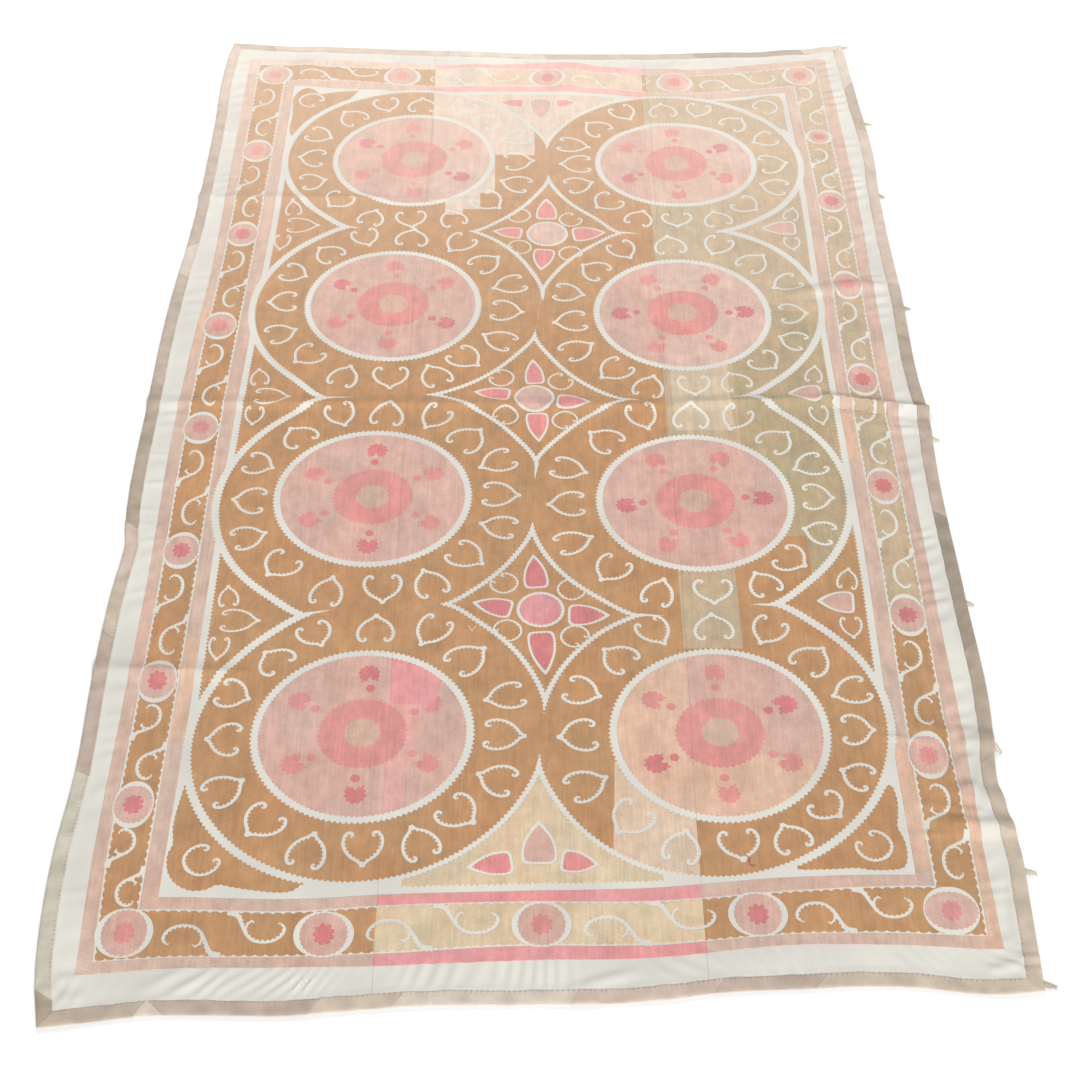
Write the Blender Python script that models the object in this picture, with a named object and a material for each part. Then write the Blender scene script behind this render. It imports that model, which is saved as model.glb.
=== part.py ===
"""Suzani cover, lying flat: three embroidered panels seamed side by side, a pieced
binding folded over all four edges, and the stubs of ties along the right edge.

+Y points to the far edge and +X to the edge with the ties. The origin is in the
middle of the underside. Tables are in millimetres, and meshes are in metres.
"""

import math

import bpy
import numpy as np

MM = 0.001

# Thicknesses. The binding is one layer under the panels and one over them.
PANEL = 1.6
LAYER = 1.0
GAP = 0.3
PANEL_RAISE = LAYER + GAP
UPPER_LAYER = PANEL_RAISE + PANEL + GAP
FOLD_HEIGHT = UPPER_LAYER + LAYER

# Widths across the binding, from the outline inwards.
BINDING = 25.5
UNDER_BINDING = 26.0
BAND = 27.5

# Outline of the binding: near edge and far edge as (x, y), left and right edge as
# (y, x). The first and last points of each are the corners.
NEAR_EDGE = (
    (-792, -1451), (-713, -1441), (-638, -1431), (-488, -1430), (-412, -1431),
    (-337, -1424), (-186, -1413), (-36, -1412), (115, -1409), (190, -1403),
    (265, -1392), (416, -1384), (491, -1380), (566, -1381), (717, -1395), (786, -1389),
)
FAR_EDGE = (
    (-794, 1451), (-713, 1442), (-638, 1435), (-563, 1435), (-412, 1425),
    (-337, 1419), (-186, 1414), (-36, 1404), (190, 1400), (340, 1401),
    (491, 1411), (566, 1412), (642, 1423), (717, 1430), (799, 1448),
)
LEFT_EDGE = (
    (-1451, -792), (-1358, -811), (-1255, -820), (-1151, -823), (-944, -815),
    (-737, -819), (-500, -816), (-430, -811), (-403, -810), (-360, -816),
    (-310, -820), (-12, -824), (298, -823), (402, -819), (609, -808),
    (712, -805), (1023, -803), (1333, -806), (1420, -800), (1451, -794),
)
RIGHT_EDGE = (
    (-1389, 786), (-1254, 792), (-1104, 797), (-1047, 791), (-972, 784),
    (-905, 790), (-840, 797), (-530, 800), (-219, 800), (-116, 804),
    (-12, 809), (91, 804), (402, 809), (609, 807), (816, 811),
    (919, 817), (1023, 816), (1126, 811), (1333, 804), (1448, 799),
)

# The two seams between the panels, as (y, x of the left one, x of the right one).
SEAMS = (
    (-1451, -276, 256), (-1080, -278, 257), (-720, -278, 262), (-400, -281, 265),
    (0, -281, 264), (460, -280, 270), (660, -273, 275), (900, -265, 276),
    (1110, -263, 279), (1350, -266, 273), (1451, -266, 271),
)

# Folds that the cloth keeps from its storage, and ripples along its far edge, each a
# soft ridge from (x0, y0) to (x1, y1) with a height and a half width to each side.
FOLD_COLUMNS = ("x0", "y0", "x1", "y1", "height", "near_side", "far_side")
FOLDS = (
    (-850, 19, 300, 11, 6, 26, 34),
    (240, 12, 610, 28, 7, 24, 34),
    (550, 36, 840, -24, 13, 20, 34),
    (-850, 757, -330, 749, 5, 30, 36),
    (-850, -718, -520, -730, 5, 30, 36),
    (520, 380, 790, 434, 8, 26, 36),
    (640, -842, 840, -922, 9, 28, 40),
    (670, -972, 830, -1046, 8, 26, 34),
    (640, -1068, 840, -1076, 10, 24, 34),
    (-590, 1405, -600, 1230, 5, 60, 60),
    (-345, 1400, -360, 1220, 5, 56, 56),
    (-165, 1385, -150, 1200, 5, 54, 54),
    (85, 1375, 70, 1180, 7, 66, 66),
    (330, 1375, 360, 1200, 5, 56, 56),
)
FOLD_END = 70

# Rows of the panels stand closer where folds cross them, as (y, step).
ROW_STEPS = (
    (-1451, 75), (-1150, 60), (-1085, 27), (-850, 27), (-790, 70), (-745, 27),
    (-700, 27), (-640, 88), (-90, 88), (-40, 16), (32, 16), (90, 88),
    (340, 70), (385, 27), (430, 27), (480, 80), (700, 80), (735, 27),
    (775, 27), (830, 88), (1451, 75),
)
COLUMNS_PER_PANEL = 8

# Joins of the binding along each edge, as (place along the edge, lean of the cut).
LEFT_JOINS = (
    (-1385, -22), (-950, -14), (-622, -24), (-500, 26), (-336, -22),
    (95, -26), (462, -18), (560, 18), (1165, -24),
)
RIGHT_JOINS = (
    (-1085, 14), (-915, -20), (-650, -22), (-325, 24), (-52, 20),
    (232, 22), (424, 8), (1040, 18), (1268, -26),
)
NEAR_JOINS = (
    (-646, 21), (-601, -20), (-376, 24), (-245, 22), (35, 18), (262, 20), (425, 22),
)
FAR_JOINS = ((-694, 18), (-234, 10), (10, 16), (402, 12), (684, 14))

# Stubs of ties sewn to the right edge, as (y, heading in degrees, length, width).
TIES = (
    (1436, 22, 15, 11), (1079, -8, 15, 11), (769, -14, 11, 15), (341, -6, 12, 14),
    (-92, -12, 12, 17), (-553, -16, 12, 15), (-901, -30, 13, 14),
    (-1163, -8, 18, 13), (-1377, -13, 20, 12),
)
TIE_THICKNESS = 2.6
TIE_SIDES = 8
TIE_STEPS = ((0.0, 1.0), (0.35, 0.86), (0.75, 0.72), (1.0, 0.42))

PANEL_COLOUR = (0.62, 0.40, 0.22)
BINDING_COLOURS = ((0.60, 0.51, 0.42), (0.40, 0.34, 0.28), (0.70, 0.62, 0.52))
TIE_COLOUR = (0.55, 0.47, 0.35)


def smooth_curve(at, stations, values):
    """Cubic through the stations, with the mean slope of its neighbours at each."""
    slopes = np.gradient(values, stations)
    k = np.clip(np.searchsorted(stations, at) - 1, 0, len(stations) - 2)
    span = stations[k + 1] - stations[k]
    t = (at - stations[k]) / span
    start = (1 + 2 * t) * (1 - t) ** 2 * values[k] + t * (1 - t) ** 2 * span * slopes[k]
    end = t * t * (3 - 2 * t) * values[k + 1] - t * t * (1 - t) * span * slopes[k + 1]
    return start + end


def columns_of(table):
    """The columns of a table, as arrays."""
    return np.array(table, float).T


def along(table, share):
    """Point on an edge at this share of its length, from its first corner."""
    first, second = columns_of(table)
    place = first[0] + (first[-1] - first[0]) * np.asarray(share, float)
    return place, smooth_curve(place, first, second)


def marched_rows():
    """Rows from the near edge to the far one, each a step from the last."""
    places, steps = columns_of(ROW_STEPS)
    low, high = places[0] + BAND, places[-1] - BAND
    rows = [low]
    while rows[-1] < high:
        rows.append(rows[-1] + np.interp(rows[-1], places, steps))
    rows = np.array(rows)
    rows = low + (rows - low) * (high - low) / (rows[-1] - low)
    return (rows - places[0]) / (places[-1] - places[0])


WIDTH = NEAR_EDGE[-1][0] - NEAR_EDGE[0][0]
LENGTH = FAR_EDGE[0][1] - NEAR_EDGE[0][1]
ROWS = marched_rows()
SIDE_KNOTS = np.concatenate([[0.0], ROWS, [1.0]])


def seam_shares(row):
    """Shares of the width at which the two seams cross a row."""
    y, left, right = columns_of(SEAMS)
    place = y[0] + (y[-1] - y[0]) * row
    start = along(LEFT_EDGE, row)[1]
    end = along(RIGHT_EDGE, row)[1]
    return [(smooth_curve(place, y, x) - start) / (end - start) for x in (left, right)]


def column_shares(row):
    """Shares of the width at which all columns of the panels cross a row."""
    band = BAND / WIDTH
    first, second = seam_shares(row)
    steps = np.linspace(0, 1, COLUMNS_PER_PANEL + 1)
    return np.concatenate([
        [0.0],
        band + (first - band) * steps,
        first + (second - first) * steps[1:],
        second + (1 - band - second) * steps[1:],
        [1.0],
    ])


NEAR_KNOTS = column_shares(0.0)
FAR_KNOTS = column_shares(1.0)


def straight_edge(table, knots, share):
    """The edge as the straight runs between its knots, so that pieces stay parallel."""
    x, y = along(table, knots)
    return np.stack([np.interp(share, knots, x), np.interp(share, knots, y)], -1)


def plan(u, v):
    """Place on the floor of shares u of the width and v of the length.

    It is the blend of the four edges in which every edge keeps its own line.
    """
    u, v = np.broadcast_arrays(np.asarray(u, float), np.asarray(v, float))
    near = straight_edge(NEAR_EDGE, NEAR_KNOTS, u)
    far = straight_edge(FAR_EDGE, FAR_KNOTS, u)
    left = straight_edge(LEFT_EDGE, SIDE_KNOTS, v)[..., ::-1]
    right = straight_edge(RIGHT_EDGE, SIDE_KNOTS, v)[..., ::-1]
    a, b = u[..., None], v[..., None]
    corners = [np.array(edge[end], float) for edge in (NEAR_EDGE, FAR_EDGE) for end in (0, -1)]
    flat = (1 - b) * ((1 - a) * corners[0] + a * corners[1])
    flat = flat + b * ((1 - a) * corners[2] + a * corners[3])
    return (1 - b) * near + b * far + (1 - a) * left + a * right - flat


def fold_height(x, y):
    """Height of the cloth over the floor: the highest fold at each place.

    Each fold is a squared cosine across its line, with a softer start and end.
    """
    height = np.zeros_like(x)
    for row in FOLDS:
        f = dict(zip(FOLD_COLUMNS, row))
        length = math.hypot(f["x1"] - f["x0"], f["y1"] - f["y0"])
        dx, dy = (f["x1"] - f["x0"]) / length, (f["y1"] - f["y0"]) / length
        run = (x - f["x0"]) * dx + (y - f["y0"]) * dy
        off = (y - f["y0"]) * dx - (x - f["x0"]) * dy
        across = off / np.where(off < 0, f["near_side"], f["far_side"])
        ends = np.clip(np.minimum(run, length - run) / FOLD_END, 0, 1)
        ridge = np.cos(np.clip(across, -1, 1) * math.pi / 2) ** 2
        height = np.maximum(height, f["height"] * ridge * ends * ends * (3 - 2 * ends))
    return height


def lift(u, v):
    """Height of the cloth, level from the binding's inner line out to the edge."""
    u_band, v_band = BAND / WIDTH, BAND / LENGTH
    place = plan(np.clip(u, u_band, 1 - u_band), np.clip(v, v_band, 1 - v_band))
    return fold_height(place[..., 0], place[..., 1])


def new_object(name, vertices, faces, colour):
    """Adds one closed piece, its faces turned outwards, with a cloth material."""
    mesh = bpy.data.meshes.new(name)
    mesh.from_pydata((np.asarray(vertices) * MM).tolist(), [], faces)
    mesh.validate()
    piece = bpy.data.objects.new(name, mesh)
    bpy.context.collection.objects.link(piece)
    material = bpy.data.materials.new(name + "_cotton")
    material.use_nodes = True
    shader = material.node_tree.nodes["Principled BSDF"]
    shader.inputs["Base Color"].default_value = (*colour, 1.0)
    shader.inputs["Roughness"].default_value = 0.9
    shader.inputs["Metallic"].default_value = 0.0
    mesh.materials.append(material)
    return piece


def closed_sheet(name, plan_points, underside, colour):
    """Sheet of the panels' thickness on a grid of points, both sides cut alike."""
    rows, columns = underside.shape
    lower = np.concatenate([plan_points, underside[..., None]], -1)
    upper = lower + (0, 0, PANEL)
    vertices = np.concatenate([lower.reshape(-1, 3), upper.reshape(-1, 3)])
    index = np.arange(rows * columns).reshape(rows, columns)
    a, b = index[:-1, :-1].ravel(), index[:-1, 1:].ravel()
    c, d = index[1:, 1:].ravel(), index[1:, :-1].ravel()
    top = rows * columns
    faces = np.concatenate([
        np.stack([a, c, b], 1), np.stack([a, d, c], 1),
        np.stack([a, b, c], 1) + top, np.stack([a, c, d], 1) + top,
    ]).tolist()
    rim = np.concatenate([index[0, :-1], index[:-1, -1], index[-1, :0:-1], index[:0:-1, 0]])
    ahead = np.roll(rim, -1)
    faces += np.stack([rim, ahead, ahead + top, rim + top], 1).tolist()
    return new_object(name, vertices, faces, colour)


def panels():
    """The three panels: level under the binding, and on the floor between folds."""
    edge_u, edge_v = (LAYER + GAP) / WIDTH, (LAYER + GAP) / LENGTH
    rows = np.concatenate([[edge_v], ROWS, [1 - edge_v]])
    held = np.concatenate([[0.0, 0.0], ROWS[1:-1], [1.0, 1.0]])
    shares = np.array([column_shares(row) for row in held])
    shares[:, 0], shares[:, -1] = edge_u, 1 - edge_u
    seam = 1 + COLUMNS_PER_PANEL
    half_gap = GAP / 2 / WIDTH
    names = ("panel_left", "panel_centre", "panel_right")
    bounds = ((0, seam), (seam, 2 * seam - 1), (2 * seam - 1, 3 * seam - 1))
    for name, (start, end) in zip(names, bounds):
        u = shares[:, start:end + 1].copy()
        u[:, 0] += half_gap if start else 0
        u[:, -1] -= half_gap if end < shares.shape[1] - 1 else 0
        v = np.broadcast_to(rows[:, None], u.shape)
        underside = lift(u, v)
        underside[[0, 1, -2, -1]] += PANEL_RAISE
        if start == 0:
            underside[2:-2, :2] += PANEL_RAISE
        if end == shares.shape[1] - 1:
            underside[2:-2, -2:] += PANEL_RAISE
        closed_sheet(name, plan(u, v), underside, PANEL_COLOUR)


# Section of the binding as (distance inwards, height), and the faces of its ends.
SECTION = (
    (UNDER_BINDING, 0), (0, 0), (0, FOLD_HEIGHT), (BINDING, FOLD_HEIGHT),
    (BINDING, UPPER_LAYER), (LAYER, UPPER_LAYER), (LAYER, LAYER), (UNDER_BINDING, LAYER),
)
SECTION_ENDS = ((0, 1, 6, 7), (1, 2, 5, 6), (2, 3, 4, 5))


def binding_edge(name, knots, joins, low, high, share_at):
    """The lengths of binding along one edge, each a section carried along it.

    share_at(inwards, share) gives (u, v) of a point. The outer ends are mitred,
    and each join is a cut that leans by so many millimetres across the binding.
    """
    inwards, height = columns_of(SECTION)
    run = high - low
    cuts = [(0.0, UNDER_BINDING)]
    cuts += [((place - low) / run, lean) for place, lean in joins]
    cuts += [(1.0, -UNDER_BINDING)]
    for number in range(len(cuts) - 1):
        (start, start_lean), (end, end_lean) = cuts[number], cuts[number + 1]
        first = start + (start_lean * inwards / UNDER_BINDING + GAP / 2) / run
        last = end + (end_lean * inwards / UNDER_BINDING - GAP / 2) / run
        clear = GAP / run
        inner = knots[(knots > first.max() + clear) & (knots < last.min() - clear)]
        shares = np.vstack([first, np.repeat(inner[:, None], len(inwards), 1), last])
        u, v = share_at(inwards, shares)
        level = np.interp(shares, knots, lift(*share_at(BAND, knots)))
        points = np.concatenate([plan(u, v), (level + height)[..., None]], -1)
        stations, sides = shares.shape
        index = np.arange(stations * sides).reshape(stations, sides)
        ahead = np.roll(index, -1, 1)
        faces = np.stack([index[:-1], ahead[:-1], ahead[1:], index[1:]], -1)
        faces = faces.reshape(-1, 4).tolist()
        faces += [[int(index[0, k]) for k in reversed(end)] for end in SECTION_ENDS]
        faces += [[int(index[-1, k]) for k in end] for end in SECTION_ENDS]
        colour = BINDING_COLOURS[number % len(BINDING_COLOURS)]
        piece = new_object(f"{name}_{number + 1}", points.reshape(-1, 3), faces, colour)
        face_outwards(piece)


def face_outwards(piece):
    """Turns the faces of a closed piece over where its volume comes out negative."""
    mesh = piece.data
    mesh.calc_loop_triangles()
    corners = np.array([mesh.vertices[i].co for t in mesh.loop_triangles for i in t.vertices])
    a, b, c = corners.reshape(-1, 3, 3).transpose(1, 0, 2)
    if np.einsum("ij,ij->i", a, np.cross(b, c)).sum() < 0:
        mesh.flip_normals()


def bindings():
    """The binding of the left, right, near and far edges."""
    left, right = LEFT_EDGE, RIGHT_EDGE
    near, far = NEAR_EDGE, FAR_EDGE
    binding_edge("binding_left", SIDE_KNOTS, LEFT_JOINS, left[0][0], left[-1][0],
                 lambda s, t: (s / WIDTH, t))
    binding_edge("binding_right", SIDE_KNOTS, RIGHT_JOINS, right[0][0], right[-1][0],
                 lambda s, t: (1 - s / WIDTH, t))
    binding_edge("binding_near", NEAR_KNOTS, NEAR_JOINS, near[0][0], near[-1][0],
                 lambda s, t: (t, s / LENGTH))
    binding_edge("binding_far", FAR_KNOTS, FAR_JOINS, far[0][0], far[-1][0],
                 lambda s, t: (t, 1 - s / LENGTH))


def ties():
    """Each tie's stub: an oval section carried outwards, narrowing to its torn end."""
    low, high = RIGHT_EDGE[0][0], RIGHT_EDGE[-1][0]
    turn = 2 * math.pi * np.arange(TIE_SIDES) / TIE_SIDES
    for number, (place, heading, length, width) in enumerate(TIES):
        angle = math.radians(heading)
        rings = []
        for share, size in TIE_STEPS:
            sideways = np.cos(turn) * width / 2 * size
            v = (place + sideways - low) / (high - low)
            ring = plan(np.ones_like(v), v)
            ring[:, 0] += GAP + length * share * math.cos(angle)
            ring[:, 1] += length * share * math.sin(angle)
            level = np.interp(v, SIDE_KNOTS, lift(np.ones_like(SIDE_KNOTS), SIDE_KNOTS))
            bottom = level.mean() * (1 - share)
            height = bottom + TIE_THICKNESS * (0.5 + 0.5 * np.sin(turn) * size)
            rings.append(np.concatenate([ring, height[:, None]], 1))
        index = np.arange(len(rings) * TIE_SIDES).reshape(len(rings), TIE_SIDES)
        ahead = np.roll(index, -1, 1)
        faces = np.stack([index[:-1], ahead[:-1], ahead[1:], index[1:]], -1)
        faces = faces.reshape(-1, 4).tolist()
        faces += [index[0, ::-1].tolist(), index[-1].tolist()]
        piece = new_object(f"tie_{number + 1}", np.concatenate(rings), faces, TIE_COLOUR)
        face_outwards(piece)


def main():
    """Clears the scene and makes every piece."""
    for old in list(bpy.data.objects):
        bpy.data.objects.remove(old)
    panels()
    bindings()
    ties()


main()
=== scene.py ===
"""Looks of a suzani cover that lies flat: silk laid and couched on hand-woven cotton,
sewn from three loom widths, with a pieced binding and the stubs of ties.

Shapes on the cloth are complex numbers, x + y*1j in millimetres, seen from above with
+y towards the far edge. The meshes are in metres. A work list holds the embroidery as
(thread, outline) in the order in which the shapes lie over each other, and each panel is
one flat triangulation of them, lifted onto the cloth's folds.
"""

import math

import bpy
import numpy as np
from mathutils import Matrix, Vector
from mathutils.geometry import delaunay_2d_cdt


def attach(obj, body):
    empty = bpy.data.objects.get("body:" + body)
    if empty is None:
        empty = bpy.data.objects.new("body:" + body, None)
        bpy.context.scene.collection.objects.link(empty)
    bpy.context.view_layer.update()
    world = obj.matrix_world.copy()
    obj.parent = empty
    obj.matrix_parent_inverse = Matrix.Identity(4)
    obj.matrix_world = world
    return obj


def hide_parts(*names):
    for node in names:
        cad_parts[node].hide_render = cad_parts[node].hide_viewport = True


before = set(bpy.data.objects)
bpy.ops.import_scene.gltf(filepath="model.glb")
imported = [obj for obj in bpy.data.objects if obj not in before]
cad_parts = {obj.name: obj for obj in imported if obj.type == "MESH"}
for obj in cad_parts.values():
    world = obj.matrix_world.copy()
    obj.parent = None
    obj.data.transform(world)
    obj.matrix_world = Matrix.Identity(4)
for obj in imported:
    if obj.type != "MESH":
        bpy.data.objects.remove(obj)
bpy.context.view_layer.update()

MM = 0.001
rng = np.random.default_rng(7)

# Thicknesses and widths, as in the solids.
PANEL = 1.6
LAYER_CLEARANCE = 1.3
BINDING = 25.5
UNDER_BINDING = 26.0
BAND = 27.5
GAP = 0.3

# Height of the laid silk over the bare cotton, and how far its wall leans inwards.
SILK_HEIGHT = 0.7
WALL_LEAN = 0.3
# Share of the silk's height that a seam's rim keeps.
RIM_SILK = 0.8

# Distances between a panel's points where the cloth is flat and where it isn't, on its
# top and on its underside. It isn't flat this near its edge, this high and this steep.
TOP_POINTS = (12.5, 5.6)
UNDER_POINTS = (30, 5.8)
MARGIN = 82
FOLD_START = 2.4
STEEP = 0.07

# The binding's outline: near and far edge as (x, y), left and right edge as (y, x).
NEAR_EDGE = (
    (-792, -1451), (-713, -1441), (-638, -1431), (-488, -1430), (-412, -1431),
    (-337, -1424), (-186, -1413), (-36, -1412), (115, -1409), (190, -1403),
    (265, -1392), (416, -1384), (491, -1380), (566, -1381), (717, -1395), (786, -1389),
)
FAR_EDGE = (
    (-794, 1451), (-713, 1442), (-638, 1435), (-563, 1435), (-412, 1425),
    (-337, 1419), (-186, 1414), (-36, 1404), (190, 1400), (340, 1401),
    (491, 1411), (566, 1412), (642, 1423), (717, 1430), (799, 1448),
)
LEFT_EDGE = (
    (-1451, -792), (-1358, -811), (-1255, -820), (-1151, -823), (-944, -815),
    (-737, -819), (-500, -816), (-430, -811), (-403, -810), (-360, -816),
    (-310, -820), (-12, -824), (298, -823), (402, -819), (609, -808),
    (712, -805), (1023, -803), (1333, -806), (1420, -800), (1451, -794),
)
RIGHT_EDGE = (
    (-1389, 786), (-1254, 792), (-1104, 797), (-1047, 791), (-972, 784),
    (-905, 790), (-840, 797), (-530, 800), (-219, 800), (-116, 804),
    (-12, 809), (91, 804), (402, 809), (609, 807), (816, 811),
    (919, 817), (1023, 816), (1126, 811), (1333, 804), (1448, 799),
)
SEAMS = (
    (-1451, -276, 256), (-1080, -278, 257), (-720, -278, 262), (-400, -281, 265),
    (0, -281, 264), (460, -280, 270), (660, -273, 275), (900, -265, 276),
    (1110, -263, 279), (1350, -266, 273), (1451, -266, 271),
)
WIDTH = NEAR_EDGE[-1][0] - NEAR_EDGE[0][0]
LENGTH = FAR_EDGE[0][1] - NEAR_EDGE[0][1]

# Folds of the cloth, as in the solids: soft ridges from (x0, y0) to (x1, y1).
FOLD_COLUMNS = ("x0", "y0", "x1", "y1", "height", "near_side", "far_side")
FOLDS = (
    (-850, 19, 300, 11, 6, 26, 34),
    (240, 12, 610, 28, 7, 24, 34),
    (550, 36, 840, -24, 13, 20, 34),
    (-850, 757, -330, 749, 5, 30, 36),
    (-850, -718, -520, -730, 5, 30, 36),
    (520, 380, 790, 434, 8, 26, 36),
    (640, -842, 840, -922, 9, 28, 40),
    (670, -972, 830, -1046, 8, 26, 34),
    (640, -1068, 840, -1076, 10, 24, 34),
    (-590, 1405, -600, 1230, 5, 60, 60),
    (-345, 1400, -360, 1220, 5, 56, 56),
    (-165, 1385, -150, 1200, 5, 54, 54),
    (85, 1375, 70, 1180, 7, 66, 66),
    (330, 1375, 360, 1200, 5, 56, 56),
)
FOLD_END = 70

# Creases finer than the folds: a line from (x0, y0) to (x1, y1), a height, which is
# below nothing for a trough, and the half width at half that height.
CREASE_COLUMNS = ("x0", "y0", "x1", "y1", "height", "half_width")
CREASES = (
    (-815, 15, 300, 6, 1.8, 5),
    (260, 12, 590, 30, 1.8, 5),
    (545, 38, 835, -18, 6.5, 6),
    (590, 8, 830, -50, -5.5, 7),
    (640, -40, 835, -78, 3.0, 8),
    (520, 372, 790, 418, 2.2, 6),
    (-815, 755, 60, 748, 1.4, 5),
    (-815, -718, -470, -726, 1.6, 5),
    (-822, -139, -740, -146, 1.7, 5),
    (-820, -231, -735, -222, 2.0, 6),
    (-818, -299, -735, -306, 1.7, 5),
    (-816, -338, -730, -352, 1.9, 6),
    (-815, 380, -740, 372, 1.4, 7),
    (-808, 1040, -736, 1030, 1.6, 7),
    (10, -1392, 165, -1346, 3.4, 8),
    (60, -1398, 150, -1372, -1.8, 8),
    (736, -1290, 744, -1150, 2.4, 8),
    (757, -1330, 762, -1180, 2.2, 7),
    (726, -1230, 733, -1120, 1.6, 6),
    (752, 930, 770, 790, 2.0, 10),
    (760, 700, 770, 480, 2.0, 11),
    (640, -500, 800, -512, 1.8, 8),
    (560, -870, 800, -905, 2.6, 7),
    (600, -1012, 800, -1052, 2.6, 7),
    (590, -1085, 800, -1092, 2.8, 6),
    (430, 960, 640, 890, 1.6, 12),
    (180, 1180, 330, 1020, 2.0, 14),
    (120, 1100, 330, 1010, -1.5, 14),
    (-60, 1330, -40, 1180, 1.5, 14),
    (440, 1330, 470, 1200, 1.5, 14),
)

# Small pulls in the margins, side by side along each edge: their pitch, their lean along
# the edge for each millimetre inwards, how far inwards they reach, and their height.
PULL_COLUMNS = ("pitch", "lean", "reach", "height")
PULLS = {
    "near": (29, 0.85, 66, 3.6),
    "right": (41, 0.35, 64, 4.0),
    "left": (52, -0.25, 60, 2.2),
    "far": (43, 0.4, 46, 1.8),
}
# The pulls of the short edges lean away from the middle, three quarters so at this place.
PULL_FAN = 220
# Waves by which the pulls' spacing drifts: shift in radians, length and start.
PULL_DRIFT = ((3.2, 67, 0), (1.4, 27, 1), (0.4, 12, 0))

# Heights of the slow and quick waves all over the cloth, and the distance over which it
# rises onto the lower layer of the binding.
SLOW_WAVES = 1.2
QUICK_WAVES = 0.75
RISE = 9


def columns_of(table):
    """The columns of a table, as arrays."""
    return np.array(table, float).T


def rows_of(columns, table):
    """The rows of a table, each with its values under the columns' names."""
    return [dict(zip(columns, values)) for values in table]


def smooth_curve(at, stations, values):
    """Cubic through the stations, with the mean slope of its neighbours at each."""
    at = np.clip(at, stations[0], stations[-1])
    slopes = np.gradient(values, stations)
    k = np.clip(np.searchsorted(stations, at) - 1, 0, len(stations) - 2)
    span = stations[k + 1] - stations[k]
    t = (at - stations[k]) / span
    start = (1 + 2 * t) * (1 - t) ** 2 * values[k] + t * (1 - t) ** 2 * span * slopes[k]
    end = t * t * (3 - 2 * t) * values[k + 1] - t * t * (1 - t) * span * slopes[k + 1]
    return start + end


def edge_at(table, place, column=1):
    """Where a line's table puts it, at this place along it."""
    columns = columns_of(table)
    return smooth_curve(np.asarray(place, float), columns[0], columns[column])


def plan(u, v):
    """Place of shares u of the width and v of the length: the blend of the four edges."""
    u, v = np.broadcast_arrays(np.asarray(u, float), np.asarray(v, float))
    near_x = NEAR_EDGE[0][0] + (NEAR_EDGE[-1][0] - NEAR_EDGE[0][0]) * u
    far_x = FAR_EDGE[0][0] + (FAR_EDGE[-1][0] - FAR_EDGE[0][0]) * u
    left_y = LEFT_EDGE[0][0] + (LEFT_EDGE[-1][0] - LEFT_EDGE[0][0]) * v
    right_y = RIGHT_EDGE[0][0] + (RIGHT_EDGE[-1][0] - RIGHT_EDGE[0][0]) * v
    near = near_x + 1j * edge_at(NEAR_EDGE, near_x)
    far = far_x + 1j * edge_at(FAR_EDGE, far_x)
    left = edge_at(LEFT_EDGE, left_y) + 1j * left_y
    right = edge_at(RIGHT_EDGE, right_y) + 1j * right_y
    corners = [complex(*edge[end]) for edge in (NEAR_EDGE, FAR_EDGE) for end in (0, -1)]
    flat = (1 - v) * ((1 - u) * corners[0] + u * corners[1])
    flat = flat + v * ((1 - u) * corners[2] + u * corners[3])
    return (1 - v) * near + v * far + (1 - u) * left + u * right - flat


def ridge(x, y, row, near_side, far_side):
    """Squared cosine across a line, with a softer start and end, from 0 to 1."""
    length = math.hypot(row["x1"] - row["x0"], row["y1"] - row["y0"])
    dx, dy = (row["x1"] - row["x0"]) / length, (row["y1"] - row["y0"]) / length
    run = (x - row["x0"]) * dx + (y - row["y0"]) * dy
    off = (y - row["y0"]) * dx - (x - row["x0"]) * dy
    across = off / np.where(off < 0, near_side, far_side)
    ends = np.clip(np.minimum(run, length - run) / min(FOLD_END, length / 2), 0, 1)
    return np.cos(np.clip(across, -1, 1) * math.pi / 2) ** 2 * ends * ends * (3 - 2 * ends)


def inwards_from_edges(x, y):
    """Distance inwards from each edge of the binding's outline."""
    return {"near": y - edge_at(NEAR_EDGE, x), "right": edge_at(RIGHT_EDGE, y) - x,
            "left": x - edge_at(LEFT_EDGE, y), "far": edge_at(FAR_EDGE, x) - y}


def edge_distance(x, y):
    """Distance inwards from the nearest edge."""
    return np.minimum.reduce(list(inwards_from_edges(x, y).values()))


def pulls(x, y):
    """Height of the pulls in the four margins. They fan out from the middle of the two
    short edges, and their lean, spacing and strength change along every edge."""
    total = np.zeros_like(x)
    for side, inwards in inwards_from_edges(x, y).items():
        along = x if side in ("near", "far") else y
        pull = dict(zip(PULL_COLUMNS, PULLS[side]))
        fan = np.tanh(along / PULL_FAN) if side in ("near", "far") else 1.0
        depth = np.clip((inwards - BAND) / pull["reach"], 0, 1)
        lean = pull["lean"] * fan * (1 + 0.5 * np.sin(along / 91))
        phase = 2 * math.pi * (along + lean * inwards) / pull["pitch"]
        for shift, length, start in PULL_DRIFT:
            phase = phase + shift * np.sin(along / length + start)
        strength = np.clip(0.5 + 0.6 * np.sin(along / 43 + 2) * np.sin(along / 113 + 1), 0.08, 1)
        crest = (0.5 + 0.5 * np.sin(phase)) ** 1.3
        swell = np.sin(math.pi * depth ** 0.8) ** 0.9
        total = total + pull["height"] * strength * crest * swell
    return total


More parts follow.
